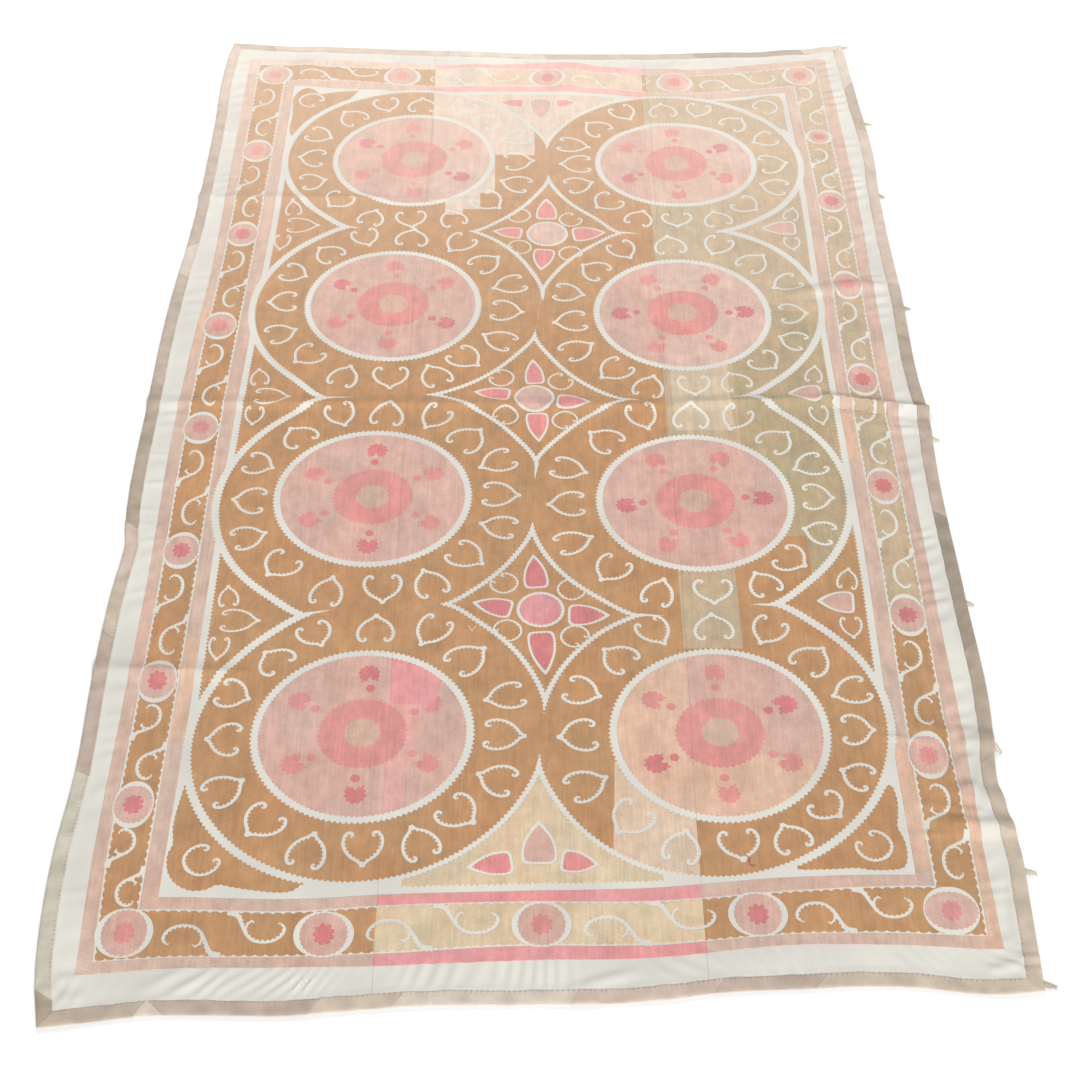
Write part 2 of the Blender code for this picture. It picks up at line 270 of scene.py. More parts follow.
def level(x, y):
    """Height of the cloth over the floor: the highest fold at each place, plus the
    creases, pulls and waves. It is level from the binding's inner line outwards."""
    x = np.clip(x, edge_at(LEFT_EDGE, y) + BAND, edge_at(RIGHT_EDGE, y) - BAND)
    y = np.clip(y, edge_at(NEAR_EDGE, x) + BAND, edge_at(FAR_EDGE, x) - BAND)
    height = np.zeros_like(x)
    for row in rows_of(FOLD_COLUMNS, FOLDS):
        fold = row["height"] * ridge(x, y, row, row["near_side"], row["far_side"])
        height = np.maximum(height, fold)
    for row in rows_of(CREASE_COLUMNS, CREASES):
        foot = 2 * row["half_width"]
        height = height + row["height"] * ridge(x, y, row, foot, foot)
    slow = 0.5 + 0.5 * np.sin(x / 97 + 1.3 * np.sin(y / 171)) * np.sin(y / 83 + 1.1 * np.sin(x / 143))
    quick = 0.5 + 0.5 * np.sin(x / 31 + 2 * np.sin(y / 59)) * np.sin(y / 37 + 2 * np.sin(x / 67))
    return np.maximum(height + pulls(x, y) + SLOW_WAVES * slow + QUICK_WAVES * quick, 0)


def sheet_height(flat):
    """Height of a panel's underside: that of the cloth, and the rise onto the binding."""
    x, y = flat.real, flat.imag
    t = np.clip((BAND + RISE - edge_distance(x, y)) / RISE, 0, 1)
    return level(x, y) + LAYER_CLEARANCE * t * t * (3 - 2 * t)


# Lines and shapes on the cloth.

def smooth_line(knots, steps=6):
    """Curve through complex knots: the Catmull-Rom cubic on each span."""
    knots = np.asarray(knots, complex)
    p = np.concatenate([[2 * knots[0] - knots[1]], knots, [2 * knots[-1] - knots[-2]]])
    t = np.linspace(0, 1, steps, endpoint=False)[None, :]
    a, b, c, d = p[:-3, None], p[1:-2, None], p[2:-1, None], p[3:, None]
    line = 0.5 * (2 * b + (c - a) * t + (2 * a - 5 * b + 4 * c - d) * t ** 2
                  + (3 * b - a - 3 * c + d) * t ** 3)
    return np.append(line.ravel(), knots[-1])


def run_length(line, closed=False):
    """Length of a line."""
    line = np.append(line, line[0]) if closed else line
    return np.abs(np.diff(line)).sum()


def evenly(line, count, closed=False):
    """The line again, with count points evenly spaced along it."""
    line = np.append(line, line[0]) if closed else line
    run = np.concatenate([[0], np.cumsum(np.abs(np.diff(line)))])
    at = np.linspace(0, run[-1], count, endpoint=not closed)
    return np.interp(at, run, line.real) + 1j * np.interp(at, run, line.imag)


def leftward(line, closed=False):
    """Unit direction to the left of the line's run, at each point."""
    ahead = np.roll(line, -1) - np.roll(line, 1) if closed else np.gradient(line)
    return 1j * ahead / np.maximum(np.abs(ahead), 1e-9)


def edged(line, pitch, depth, profile, closed=False):
    """Edge of small repeats: each takes one step of the profile to the left per point.

    The profile (0, 1) gives saw teeth, and (1, .3, 0, .3) gives round lobes between cusps.
    """
    repeats = max(2, round(run_length(line, closed) / pitch))
    count = repeats * len(profile) + (0 if closed else 1)
    points = evenly(line, count, closed)
    offsets = depth * np.array(profile)[np.arange(count) % len(profile)]
    return points + leftward(points, closed) * offsets


# Profiles of small repeats, and how long and deep those of the silk's edges are.
TEETH = (0, 1)
LOBES = (1, 0.3, 0, 0.3)
ROUND_LOBES = (1, 0.36, 0.07, 0, 0.07, 0.36)
TOOTH_PITCH = 9.6
TOOTH = 4.0
RING_TOOTH = 4.8
BAND_PITCH = 17.0
BAND_LOBE = 3.6
BAND_INSET = 2.4

# Cusps in which the bare lines of two fields meet: the two medallions, the place, and the
# tip of the bare stroke that runs on from there.
CUSP_COLUMNS = ("one", "other", "x", "y", "tip_x", "tip_y")
CUSPS = (
    (0, 4, 21, 985, 20, 962), (0, 4, 23, 835, 23, 854), (1, 5, 5, 402, 8, 366),
    (1, 5, -13, 240, -13, 258), (2, 6, -12, -158, -13, -212), (2, 6, -20, -357, -21, -335),
    (3, 7, 1, -792, 0, -813), (3, 7, -10, -942, -11, -917), (0, 1, -450, 641, -413, 637),
    (0, 1, -152, 625, -165, 626), (1, 2, -455, 33, -391, 37), (1, 2, -226, 46, -246, 47),
    (2, 3, -450, -583, -396, -568), (2, 3, -182, -556, -194, -555), (4, 5, 430, 628, 404, 619),
    (4, 5, 188, 618, 231, 618), (5, 6, 440, 45, 396, 34), (5, 6, 178, 27, 212, 25),
    (6, 7, 440, -555, 391, -558), (6, 7, 174, -585, 226, -584),
)
# Half of the angle over which a field is drawn out to a cusp.
CUSP_SPREAD = math.radians(10)

# Half of the bare line beside the stars, and how much more it has on a medallion's
# outer side, fully so at this distance from its middle.
LINE_HALF = 3.1
LINE_MORE = 2.8
OUTER_SIDE = 150


def field_line(number, points=360):
    """Middle of the bare line around a medallion's field: a leaning oval, drawn out to
    the cusps in which it meets its neighbours."""
    m = dict(zip(MEDALLION_COLUMNS, MEDALLIONS[number]))
    cusps = np.array([complex(c["x"] - m["x"], c["y"] - m["y"]) for c in rows_of(CUSP_COLUMNS, CUSPS)
                      if number in (c["one"], c["other"])])

    def oval(angle):
        reach = m["line"] + m["lean"] * np.cos(angle - math.radians(m["lean_to"]))
        return reach + m["oval"] * np.cos(2 * (angle - math.radians(m["oval_to"])))

    def weights(angle):
        apart = np.angle(np.exp(1j * (angle[:, None] - np.angle(cusps)[None, :])))
        return np.exp(-(apart / CUSP_SPREAD) ** 2)

    missing = np.abs(cusps) - oval(np.angle(cusps))
    shares = np.linalg.solve(weights(np.angle(cusps)), missing)
    angle = 2 * math.pi * np.arange(points) / points
    reach = oval(angle) + weights(angle) @ shares
    return complex(m["x"], m["y"]) + reach * np.exp(1j * angle)


def round_line(centre, radius, lean=0, lean_to=0, oval=0, oval_to=0, points=240):
    """Closed line around a centre, anticlockwise: a circle that leans to one side by
    lean*cos and is oval by oval*cos of twice the angle."""
    angle = 2 * math.pi * np.arange(points) / points
    reach = radius + lean * np.cos(angle - math.radians(lean_to))
    reach = reach + oval * np.cos(2 * (angle - math.radians(oval_to)))
    return centre + reach * np.exp(1j * angle)


def placed(shape, at, heading, size=1):
    """A shape that points to +y, turned to a heading in degrees and moved."""
    return at + size * shape * np.exp(1j * math.radians(heading - 90))


def mirrored(half):
    """Line of a half shape and its mirror image, through the tip that they share."""
    return np.concatenate([-np.conj(half[::-1]), half[1:]])


# Right half of a heart leaf's line, from its tip down to the curl at its open end, and
# the same for a round leaf.
LEAF_HALF = (3j, 3.5 - 5j, 10 - 11j, 21 - 19j, 30 - 31j, 35 - 46j, 34 - 60j, 28 - 70j,
             20.5 - 71j, 17.5 - 65j, 20.5 - 60.5j)
ROUND_HALF = (0j, 10 - 1.5j, 20 - 6.5j, 27 - 15j, 30.5 - 27j, 29 - 40j, 23 - 50j,
              15 - 53j, 11.5 - 47j, 15 - 42.5j)
LEAF_LINE = 5.2
LEAF_CUSP = 3.8
LEAF_PITCH = 8.4
LEAF_POINTS = 44

# Right half of a petal of unit length and half width, from its base to its tip.
PETAL_HALF = (0j, 0.62 + 0.005j, 0.90 + 0.05j, 1 + 0.16j, 0.99 + 0.32j, 0.87 + 0.52j,
              0.62 + 0.71j, 0.30 + 0.88j, 1j)


def leaf(at, heading, wide=1.0, long=1.0, line=LEAF_LINE, cusp=LEAF_CUSP, half=LEAF_HALF):
    """Bare line of a leaf that is open below: smooth outside, with cusps on its inside. It
    is thicker at the leaf's tip and thinner at its two ends."""
    half = smooth_line(half)
    path = evenly(mirrored(half.real * wide + 1j * half.imag * long), LEAF_POINTS)
    share = np.abs(np.linspace(-1, 1, LEAF_POINTS))
    half_line = line / 2 * (1 + 0.4 * np.exp(-(share / 0.08) ** 2))
    half_line = half_line * np.clip((1.06 - share) / 0.12, 0.35, 1)
    normal = leftward(path)
    inner = edged((path - normal * half_line)[::-1], LEAF_PITCH, cusp, LOBES)
    return placed(np.concatenate([path + normal * half_line, inner]), at, heading)


def petal(length, half_width):
    """Drop with a blunt base at nothing and its tip at +y, anticlockwise."""
    half = smooth_line(PETAL_HALF, 4)
    right = half.real * half_width + 1j * half.imag * length
    return np.concatenate([right, -np.conj(right[-2:0:-1])])


work = []


def lay(thread, shape):
    """Adds a shape to the work list, over all that is there."""
    work.append((thread, np.asarray(shape, complex)))


# Lines of the two stripes that frame the field, along each side, from outside inwards.
# Left and right as (y, x, x, x, x), near and far as (x, y, y, y, y).
LEFT_LINES = (
    (-1460, -744, -720, -664, -636), (-1358, -748, -723, -664, -636), (-1141, -756, -733, -664, -636),
    (-859, -755, -731, -662, -634), (-464, -754, -731, -662, -636), (-106, -760, -735, -664, -638),
    (176, -756, -733, -662, -634), (458, -744, -724, -656, -628), (703, -743, -720, -651, -623),
    (1098, -744, -720, -648, -622), (1371, -745, -721, -646, -620), (1460, -745, -721, -646, -620),
)
RIGHT_LINES = (
    (-1460, 735, 712, 642, 614), (-1358, 735, 713, 642, 614), (-1141, 735, 716, 642, 614),
    (-859, 741, 714, 642, 614), (-464, 742, 719, 651, 623), (-106, 744, 721, 651, 625),
    (176, 747, 719, 652, 625), (458, 750, 724, 656, 629), (703, 755, 727, 661, 634),
    (1098, 752, 723, 656, 631), (1371, 747, 721, 651, 625), (1460, 747, 721, 651, 625),
)
NEAR_LINES = (
    (-800, -1364, -1340, -1236, -1212), (-620, -1347, -1327, -1234, -1211),
    (-394, -1344, -1324, -1237, -1214), (-281, -1342, -1320, -1228, -1207),
    (-55, -1332, -1305, -1220, -1200), (171, -1327, -1304, -1219, -1194),
    (397, -1304, -1284, -1200, -1174), (566, -1304, -1282, -1191, -1169),
    (726, -1313, -1289, -1192, -1170), (800, -1314, -1290, -1192, -1170),
)
FAR_LINES = (
    (-800, 1374, 1354, 1272, 1246), (-591, 1372, 1344, 1270, 1245), (-507, 1372, 1341, 1273, 1234),
    (-394, 1356, 1330, 1259, 1228), (-281, 1349, 1330, 1246, 1220), (-55, 1352, 1330, 1245, 1221),
    (86, 1361, 1324, 1245, 1217), (171, 1341, 1313, 1236, 1211), (256, 1332, 1307, 1222, 1194),
    (340, 1324, 1299, 1214, 1183), (453, 1332, 1304, 1220, 1189), (566, 1352, 1321, 1234, 1208),
    (679, 1369, 1344, 1250, 1225), (800, 1382, 1356, 1256, 1230),
)


def four_sided(left, right, near, far, steps):
    """Closed line, anticlockwise, along four lines. left and right are functions of y,
    near and far of x, and steps gives the places from one end of a side to the other."""
    corners = []
    for side, end in ((left, near), (right, near), (right, far), (left, far)):
        x = side(0.0)
        for _ in range(4):
            y = end(x)
            x = side(y)
        corners.append((float(x), float(y)))
    (ax, ay), (bx, by), (cx, cy), (dx, dy) = corners
    near_x, far_x = steps(ax, bx), steps(cx, dx)
    right_y, left_y = steps(by, cy), steps(dy, ay)
    return np.concatenate([near_x + 1j * near(near_x), right(right_y) + 1j * right_y,
                           far_x + 1j * far(far_x), left(left_y) + 1j * left_y])


def frame_loop(column, inset=0.0, points=120):
    """Closed line around the field, anticlockwise, along one column of the four tables."""
    t = np.linspace(0, 1, points, endpoint=False)
    return four_sided(
        lambda y: edge_at(LEFT_LINES, y, column) + inset,
        lambda y: edge_at(RIGHT_LINES, y, column) - inset,
        lambda x: edge_at(NEAR_LINES, x, column) + inset,
        lambda x: edge_at(FAR_LINES, x, column) - inset,
        lambda start, end: start + (end - start) * t)


# Medallions. line is the radius of the bare line around its field, which leans and is
# oval as in round_line. ring is the radius of the bare ring. Its leaves start at turn
# and swing by so many degrees, most at peak, and flowers turn from 90 degrees.
MEDALLION_COLUMNS = ("x", "y", "line", "lean", "lean_to", "oval", "oval_to",
                     "ring", "ring_oval", "turn", "swing", "peak", "flowers")
MEDALLIONS = (
    (-303, 917, 314, 8, 350, 8, 160, 199, 0, -1, 2.5, 270, 0),
    (-327, 354, 319, 10, 333, 5, 45, 199, 0, -3.5, 4.5, 235, 0),
    (-338, -265, 321, 12, 343, 6, 50, 199, 0, 1, 5, 270, 0),
    (-323, -865, 316, 11, 346, 10, 50, 199, 0, 1, 4, 225, 0),
    (332, 903, 301, 8, 150, 10, 175, 190, 8, 1.5, 4, 90, 0),
    (315, 324, 316, 8, 150, 12, 47, 199, 0, 3, 3.5, 165, 32),
    (303, -275, 321, 12, 145, 8, 47, 199, 0, 2, 3, 270, 33),
    (311, -864, 314, 10, 153, 10, 47, 199, 0, 1.5, 2, 225, 0),
)

# Leaves of a medallion that point outwards and inwards: where the tip lies between ring
# and bare line, the turn, and the width and length, which is for this much room.
LEAF_KINDS = ((0.715, 0, 1.02, 0.95), (0.22, 180, 0.9, 0.98))
LEAF_ROOM = 120
LEAVES = 16
FLOWERS = 6
# Middle of a medallion: width of the bare ring, radius of the rosette and of its heart,
# and that of the flowers' circle, all but the first for a ring of the full radius.
RING_WIDTH = 18
ROSETTE = 80
HEART = 31
FLOWER_CIRCLE = 134
FULL_RING = 199
# Bare stroke at a cusp: how far it overlaps the line, and half of its width.
TAIL_OVERLAP = 10
TAIL_HALF = 4.6


def medallions():
    """All fields and their lines first, so that they join, then each medallion's middle."""
    lines = [field_line(number) for number in range(len(MEDALLIONS))]
    for grown, thread in ((-1, "bare"), (1, "field")):
        for line in lines:
            outwards = (line - line.mean()).real * np.sign(line.mean().real) / OUTER_SIDE
            half = LINE_HALF + LINE_MORE * np.clip(outwards, 0, 1)
            edge = line + leftward(line, True) * grown * half
            lay(thread, edged(edge, TOOTH_PITCH, TOOTH * grown, TEETH, True))
    for cusp in rows_of(CUSP_COLUMNS, CUSPS):
        cusp_tail(complex(cusp["x"], cusp["y"]), complex(cusp["tip_x"], cusp["tip_y"]))
    for m in rows_of(MEDALLION_COLUMNS, MEDALLIONS):
        leaves(m)
        middle(m)


def cusp_tail(cusp, tip):
    """Bare stroke that runs on from a cusp: a spindle with small cusps of its own."""
    toward = (tip - cusp) / abs(tip - cusp)
    start = cusp - TAIL_OVERLAP * toward
    share = np.linspace(0, 1, 14)
    path = start + (tip - start) * share + 1j * toward * 1.2 * np.sin(5 * share)
    half = TAIL_HALF * (1 - share ** 1.8) * (0.85 + 0.15 * np.cos(19 * share)) + 0.5
    normal = leftward(path)
    lay("bare", np.concatenate([path + normal * half, (path - normal * half)[::-1]])[::-1])


def leaves(m):
    """Heart leaves around a medallion, pointing outwards and inwards by turns."""
    centre = complex(m["x"], m["y"])
    for k in range(LEAVES):
        angle = m["turn"] + 360 / LEAVES * k
        angle += m["swing"] * math.cos(math.radians(angle - m["peak"])) + rng.uniform(-1.2, 1.2)
        toward = math.radians(angle)
        reach = m["line"] + m["lean"] * math.cos(toward - math.radians(m["lean_to"]))
        reach += m["oval"] * math.cos(2 * (toward - math.radians(m["oval_to"])))
        room = reach - m["ring"]
        tilt = rng.uniform(-7, 7)
        wide = rng.uniform(0.93, 1.04)
        long = rng.uniform(0.94, 1.04)
        tip_share, turned, width, length = LEAF_KINDS[k % 2]
        tip = centre + (m["ring"] + tip_share * room) * np.exp(1j * toward)
        size = length * long * room / LEAF_ROOM
        lay("bare", leaf(tip, angle + turned + tilt, width * wide, size))


def middle(m):
    """Ring, pale disc, rosette and six flowers of a medallion."""
    centre = complex(m["x"], m["y"])
    lean, lean_to = rng.uniform(1, 3), rng.uniform(0, 360)
    oval = m["ring_oval"] + rng.uniform(0, 1.5)
    oval_to = 0 if m["ring_oval"] else rng.uniform(0, 180)
    outer = round_line(centre, m["ring"] - RING_TOOTH, lean, lean_to, oval, oval_to)
    inner = round_line(centre, m["ring"] - RING_WIDTH, lean, lean_to, oval, oval_to)
    size = m["ring"] / FULL_RING
    rosette = round_line(centre, ROSETTE * size, 1.5, lean_to, 1, 30)
    lay("bare", edged(outer, 9.8, -RING_TOOTH, TEETH, True))
    lay("disc", edged(inner, 9.0, -3.0, TEETH, True))
    lay("ring", edged(rosette, 11.5, 4.2, ROUND_LOBES, True))
    lay("heart", edged(round_line(centre, HEART * size, 0.8, lean_to), 10, -3.6, LOBES, True))
    for k in range(FLOWERS):
        angle = 90 + m["flowers"] + 360 / FLOWERS * k + rng.uniform(-3, 3)
        toward = np.exp(1j * math.radians(angle))
        thread = ("rose", "deep_rose", "rose")[(k + int(m["x"])) % 3]
        flower(centre + toward * FLOWER_CIRCLE * size, angle + rng.uniform(-9, 9), thread, size)


def flower(at, heading, thread, size):
    """Small flower: a long toothed head with two horns around its round bud."""
    angle = 2 * math.pi * np.arange(72) / 72
    below = (angle - 1.5 * math.pi) * 180 / math.pi
    reach = 19 + 3.5 * np.sin(angle) - 6 * np.exp(-(below / 22) ** 2)
    reach = reach + 5 * np.exp(-((np.abs(below) - 44) / 17) ** 2)
    head = edged(reach * 1.12 * np.exp(1j * angle), 12.5, 5.0, ROUND_LOBES, True)
    bud = edged(round_line(-32j, 8.2, points=24), 8, -1.0, LOBES, True)
    lay(thread, placed(head * rng.uniform(0.92, 1.04), at, heading, size))
    lay(thread, placed(bud, at, heading, size))


# Stars between the medallions: place, outer radius of the ringed disc, and threads.
STAR_COLUMNS = ("x", "y", "disc", "petal_thread", "disc_thread")
STARS = (
    (17, 615, 48, "petal_pink", "pale_shell"),
    (-15, 33, 43, "petal_pink", "shell"),
    (-6, -570, 45, "deep_rose", "light_rose"),
)

# The four petals of each star: place of the base, heading, length and half width.
STAR_PETALS = (
    (76, 612, 7, 80, 27), (17, 672, 90, 84, 25), (-40, 617, 172, 70, 22), (12, 557, 263, 82, 25),
    (32, 24, 354, 74, 24), (-12, 80, 94, 84, 21), (-65, 44, 171, 79, 22), (-10, -11, 273, 92, 24),
    (46, -583, 359, 80, 27), (-12, -515, 94, 92, 24), (-59, -570, 166, 78, 24), (-6, -624, 275, 108, 26),
)

# Round leaves between the petals: heading and distance of their middle from the star's.
STAR_LEAVES = ((132, 96), (43, 78), (223, 79), (311, 91))

# How much shorter and narrower than its bare line the silk of a petal is, and its start.
PETAL_SHORTER = 14
PETAL_NARROWER = 4
PETAL_START = 4.5j


def framed_petal(at, heading, length, half_width, thread):
    """Petal of laid silk inside a bare line with cusps."""
    inner = petal(length - PETAL_SHORTER, half_width - PETAL_NARROWER) + PETAL_START
    lay("bare", placed(petal(length, half_width), at, heading))
    lay(thread, placed(edged(inner, 7.5, 1.8, LOBES, True), at, heading))


def stars():
    """Four petals and four small round leaves about a ringed disc."""
    for number, s in enumerate(rows_of(STAR_COLUMNS, STARS)):
        centre = complex(s["x"], s["y"])
        for x, y, heading, length, half_width in STAR_PETALS[4 * number:4 * number + 4]:
            framed_petal(complex(x, y), heading, length, half_width, s["petal_thread"])
        for heading, distance in STAR_LEAVES:
            toward = heading + rng.uniform(-4, 4)
            closed_end = centre + (distance - 24) * np.exp(1j * math.radians(toward))
            turned = toward + 180 + rng.uniform(-12, 12)
            lay("bare", leaf(closed_end, turned, 0.86, 0.86, 3.6, 2.4, ROUND_HALF))
        lay("bare", edged(round_line(centre, s["disc"], 1, 40, points=90), 12, -0.8, LOBES, True))
        disc = round_line(centre, s["disc"] - 7, 1, 40, points=90)
        lay(s["disc_thread"], edged(disc, 8, -2.2, LOBES, True))


# Petals of the half stars at the two ends: place of the base, heading, length, width.
END_PETALS = (
    (-34, 1167, 174, 70, 20, "petal_pink"),
    (43, 1167, 6, 58, 19, "petal_pink"),
    (6, 1190, 271, 100, 29, "shell"),
    (-55, -1142, 188, 79, 24, "petal_pink"),
    (25, -1138, 351, 67, 23, "petal_pink"),
    (-11, -1147, 90, 90, 30, "shell"),
)

# Leaves in the side triangles: tip, heading, width and length.
SIDE_LEAVES = (
    (-582, 745, 97, 0.52, 0.80), (-513, 648, 0, 0.78, 1.04), (-597, 552, 265, 0.52, 0.80),
    (-602, 130, 98, 0.54, 0.74), (-528, 38, 0, 0.78, 1.02), (-599, -50, 268, 0.54, 0.76),
    (-598, -508, 97, 0.52, 0.74), (-530, -597, 0, 0.78, 1.00), (-600, -695, 268, 0.52, 0.78),
    (599, 722, 76, 0.50, 0.72), (584, 553, 272, 0.52, 0.68),
    (588, 142, 80, 0.50, 0.76), (585, -48, 278, 0.54, 0.80),
    (587, -461, 80, 0.54, 0.78), (576, -642, 272, 0.56, 0.74),
)
SIDE_PETALS = (
    (598, 640, 180, 82, 27, "shell"), (593, 50, 180, 74, 28, "shell"),
    (588, -552, 176, 72, 28, "shell"),
)

# Round leaves of the corners: middle and heading of the closed end.
CORNER_LEAVES = ((-573, 1181, 138), (573, 1154, 48), (-575, -1138, 218), (553, -1111, 312))

# Ground of the four corners: a lobed line beside the stripes, closed under the medallion.
CORNERS = (
    ((-622, -980), (-629, -1035), (-631, -1071), (-627, -1104), (-633, -1126), (-629, -1158),
     (-613, -1184), (-588, -1198), (-562, -1197), (-542, -1187), (-515, -1192), (-479, -1198),
     (-443, -1202), (-421, -1200), (-407, -1189), (-405, -1172), (-480, -1080), (-570, -1000)),
    ((410, -1146), (421, -1158), (446, -1159), (482, -1158), (518, -1156), (544, -1160),
     (587, -1158), (602, -1147), (607, -1122), (605, -1097), (598, -1071), (602, -1046),
     (605, -1013), (596, -982), (560, -1010), (470, -1090)),
    ((620, 1044), (618, 1105), (620, 1160), (613, 1196), (587, 1205), (555, 1196),
     (526, 1187), (482, 1182), (440, 1176), (500, 1120), (570, 1070)),
    ((-454, 1225), (-479, 1223), (-515, 1217), (-551, 1209), (-566, 1227), (-586, 1237),
     (-606, 1223), (-619, 1187), (-617, 1151), (-615, 1107), (-617, 1053), (-606, 1020),
     (-560, 1060), (-500, 1140)),
)

# Ground between the medallions and the inner stripe: table, first and last place along
# it, and how far in its piece reaches under the medallions.
GROUND_RUNS = (
    (LEFT_LINES, 920, -865, -330), (RIGHT_LINES, -864, 903, 320),
    (NEAR_LINES, -238, 195, -900), (FAR_LINES, 192, -177, 920),
)
# How far inside the stripe's inner line the silk of the ground starts.
GROUND_INSET = 12.0


def grounds():
    """Ground of the stars, then that beside the inner stripe, then the four corners."""
    lay("rest", [-320 - 865j, 315 - 864j, 330 + 903j, -300 + 917j])
    for number, (table, first, last, reach) in enumerate(GROUND_RUNS):
        place = np.linspace(first, last, max(60, int(abs(last - first) / 6)))
        line = edge_at(table, place, 4)
        line = line + 1j * place if number < 2 else 1j * line + place
        ends = [complex(reach, last), complex(reach, first)]
        if number > 1:
            ends = [complex(last, reach), complex(first, reach)]
        line = line + leftward(line) * GROUND_INSET
        lay("rest", np.concatenate([edged(line, TOOTH_PITCH, TOOTH, TEETH), ends]))
    for corner in CORNERS:
        points = smooth_line([complex(x, y) for x, y in corner + corner[:1]])[:-1]
        lay("corner", edged(points, 10.5, 2.2, LOBES, True))


def field_details():
    """Motifs of the stars, half stars, side triangles and corners."""
    stars()
    for x, y, heading, length, half_width, thread in END_PETALS + SIDE_PETALS:
        framed_petal(complex(x, y), heading, length, half_width, thread)
    for x, y, heading, wide, long in SIDE_LEAVES:
        lay("bare", leaf(complex(x, y), heading, wide, long, 4.0, 2.4))
    for x, y, heading in CORNER_LEAVES:
        tip = complex(x, y) + 28 * np.exp(1j * math.radians(heading))
        lay("bare", leaf(tip, heading, 1.0, 1.0, 4.6, 3.2, ROUND_HALF))


# Rosettes of the border, from the far end of each run: place and reach in x and in y.
ROSETTES = {
    "left": ((-673, 1299, 44, 44), (-687, 954, 36, 49), (-687, 614, 36, 49), (-702, 277, 36, 49),
             (-704, -58, 36, 50), (-699, -413, 35, 50), (-700, -746, 35, 50), (-704, -1022, 35, 50),
             (-682, -1279, 47, 47)),
    "near": ((-682, -1279, 47, 47), (-360, -1282, 49, 44), (-8, -1264, 49, 43), (345, -1245, 49, 43),
             (662, -1239, 46, 47)),
    "right": ((673, 1299, 44, 44), (693, 1020, 34, 31), (693, 748, 34, 46), (691, 424, 33, 53),
              (685, 97, 33, 54), (685, -232, 33, 54), (684, -583, 34, 54), (672, -918, 35, 52),
              (662, -1239, 46, 47)),
    "far": ((-673, 1299, 44, 44), (-348, 1290, 48, 42), (24, 1287, 48, 42), (349, 1262, 48, 42),
            (673, 1299, 44, 44)),
}

# One stroke of the vine, from the band's edge to its curl, and its hook, beside the middle
# between two rosettes that lie the span apart along +y in a band of this width. The other
# stroke is the same, turned by half.
VINE_STROKE = (-33.5 + 1j, -31.5 + 12j, -27 + 21j, -13 + 29j, 1 + 38j, 10 + 50j, 13 + 66j,
               11 + 83j, 4 + 96j, -7 + 102j, -15 + 98j, -18 + 90j)
VINE_HOOK = (2 + 38j, -7 + 36j, -15 + 38j, -20 + 45j, -17 + 49j)
VINE_SPAN = 337.0
VINE_BAND = 74.0
# The bare line of both: its knots, width at the root, width from there on, and cusps.
VINE_PARTS = ((VINE_STROKE, 10.0, 5.0, 3.4), (VINE_HOOK, 6.0, 4.0, 1.6))
VINE_POINTS = 34


def vine(start, end, table):
    """Two strokes and their hooks between two rosettes, each bare line with cusps inside.
    They fill the band, whose edges are in the table."""
    middle = (start + end) / 2
    run = start - end
    upright = abs(run.imag) > abs(run.real)
    sides = [float(edge_at(table, middle.imag if upright else middle.real, k)) for k in (2, 3)]
    wide = abs(sides[1] - sides[0]) / VINE_BAND
    centre = sum(sides) / 2
    middle = complex(centre, middle.imag) if upright else complex(middle.real, centre)
    stretch = abs(run) / VINE_SPAN
    heading = math.degrees(np.angle(run))
    share = np.linspace(0, 1, VINE_POINTS)
    for turn in (1, -1):
        for knots, root, width, cusp in VINE_PARTS:
            knots = np.asarray(knots, complex)
            line = evenly(smooth_line(knots.real * wide + 1j * knots.imag * stretch), VINE_POINTS)
            half = (width + (root - width) * np.exp(-(share / 0.16) ** 2)) / 2
            half = half * np.clip((1.05 - share) / 0.18, 0.4, 1)
            normal = leftward(line)
            inner = edged(line + normal * half, 8.5, cusp, LOBES)
            shape = np.concatenate([inner, (line - normal * half)[::-1]])
            lay("bare", placed(shape * turn, middle, heading))


def border():
    """Stripes with bare lines, the band between them, its vine and its rosettes."""
    lay("stripe", frame_loop(1))
    lay("bare", frame_loop(2))
    lay("band", edged(frame_loop(2, BAND_INSET), BAND_PITCH, BAND_LOBE, ROUND_LOBES, True))
    tables = {"left": LEFT_LINES, "right": RIGHT_LINES, "near": NEAR_LINES, "far": FAR_LINES}
    for side, points in ROSETTES.items():
        for start, end in zip(points[:-1], points[1:]):
            vine(complex(*start[:2]), complex(*end[:2]), tables[side])
    lay("bare", edged(frame_loop(3, -BAND_INSET), BAND_PITCH, -BAND_LOBE, ROUND_LOBES, True))
    lay("inner_stripe", frame_loop(3))
    lay("bare", frame_loop(4))
    grounds()


# Rim of a rosette in x and y where it is longer along y and where along x, and reach of
# its flower, whose height is for this much room.
TALL_RIM = (1.5, 10.0)
WIDE_RIM = (9.5, 3.0)
BLOOM = (18.0, 21.0)
BLOOM_ROOM = 44


def rosettes():
    """Pale ovals with a bare rim, fuller along the band, and a small lobed flower."""
    places = {place for points in ROSETTES.values() for place in points}
    for x, y, reach_x, reach_y in sorted(places):
        rim = oval_line(complex(x, y), reach_x, reach_y)
        thin_x, thin_y = TALL_RIM if reach_y > reach_x else WIDE_RIM
        lay("bare", rim)
        disc = oval_line(complex(x, y), reach_x - thin_x, reach_y - thin_y)
        lay("shell", edged(disc, 9.5, 2.2, LOBES, True))
        thread = "deep_rose" if rng.uniform() < 0.5 else "rose"
        bloom = oval_line(complex(x, y), BLOOM[0], BLOOM[1] * min(1, reach_y / BLOOM_ROOM))
        lay(thread, edged(bloom, 13.5, 5.0, ROUND_LOBES, True))


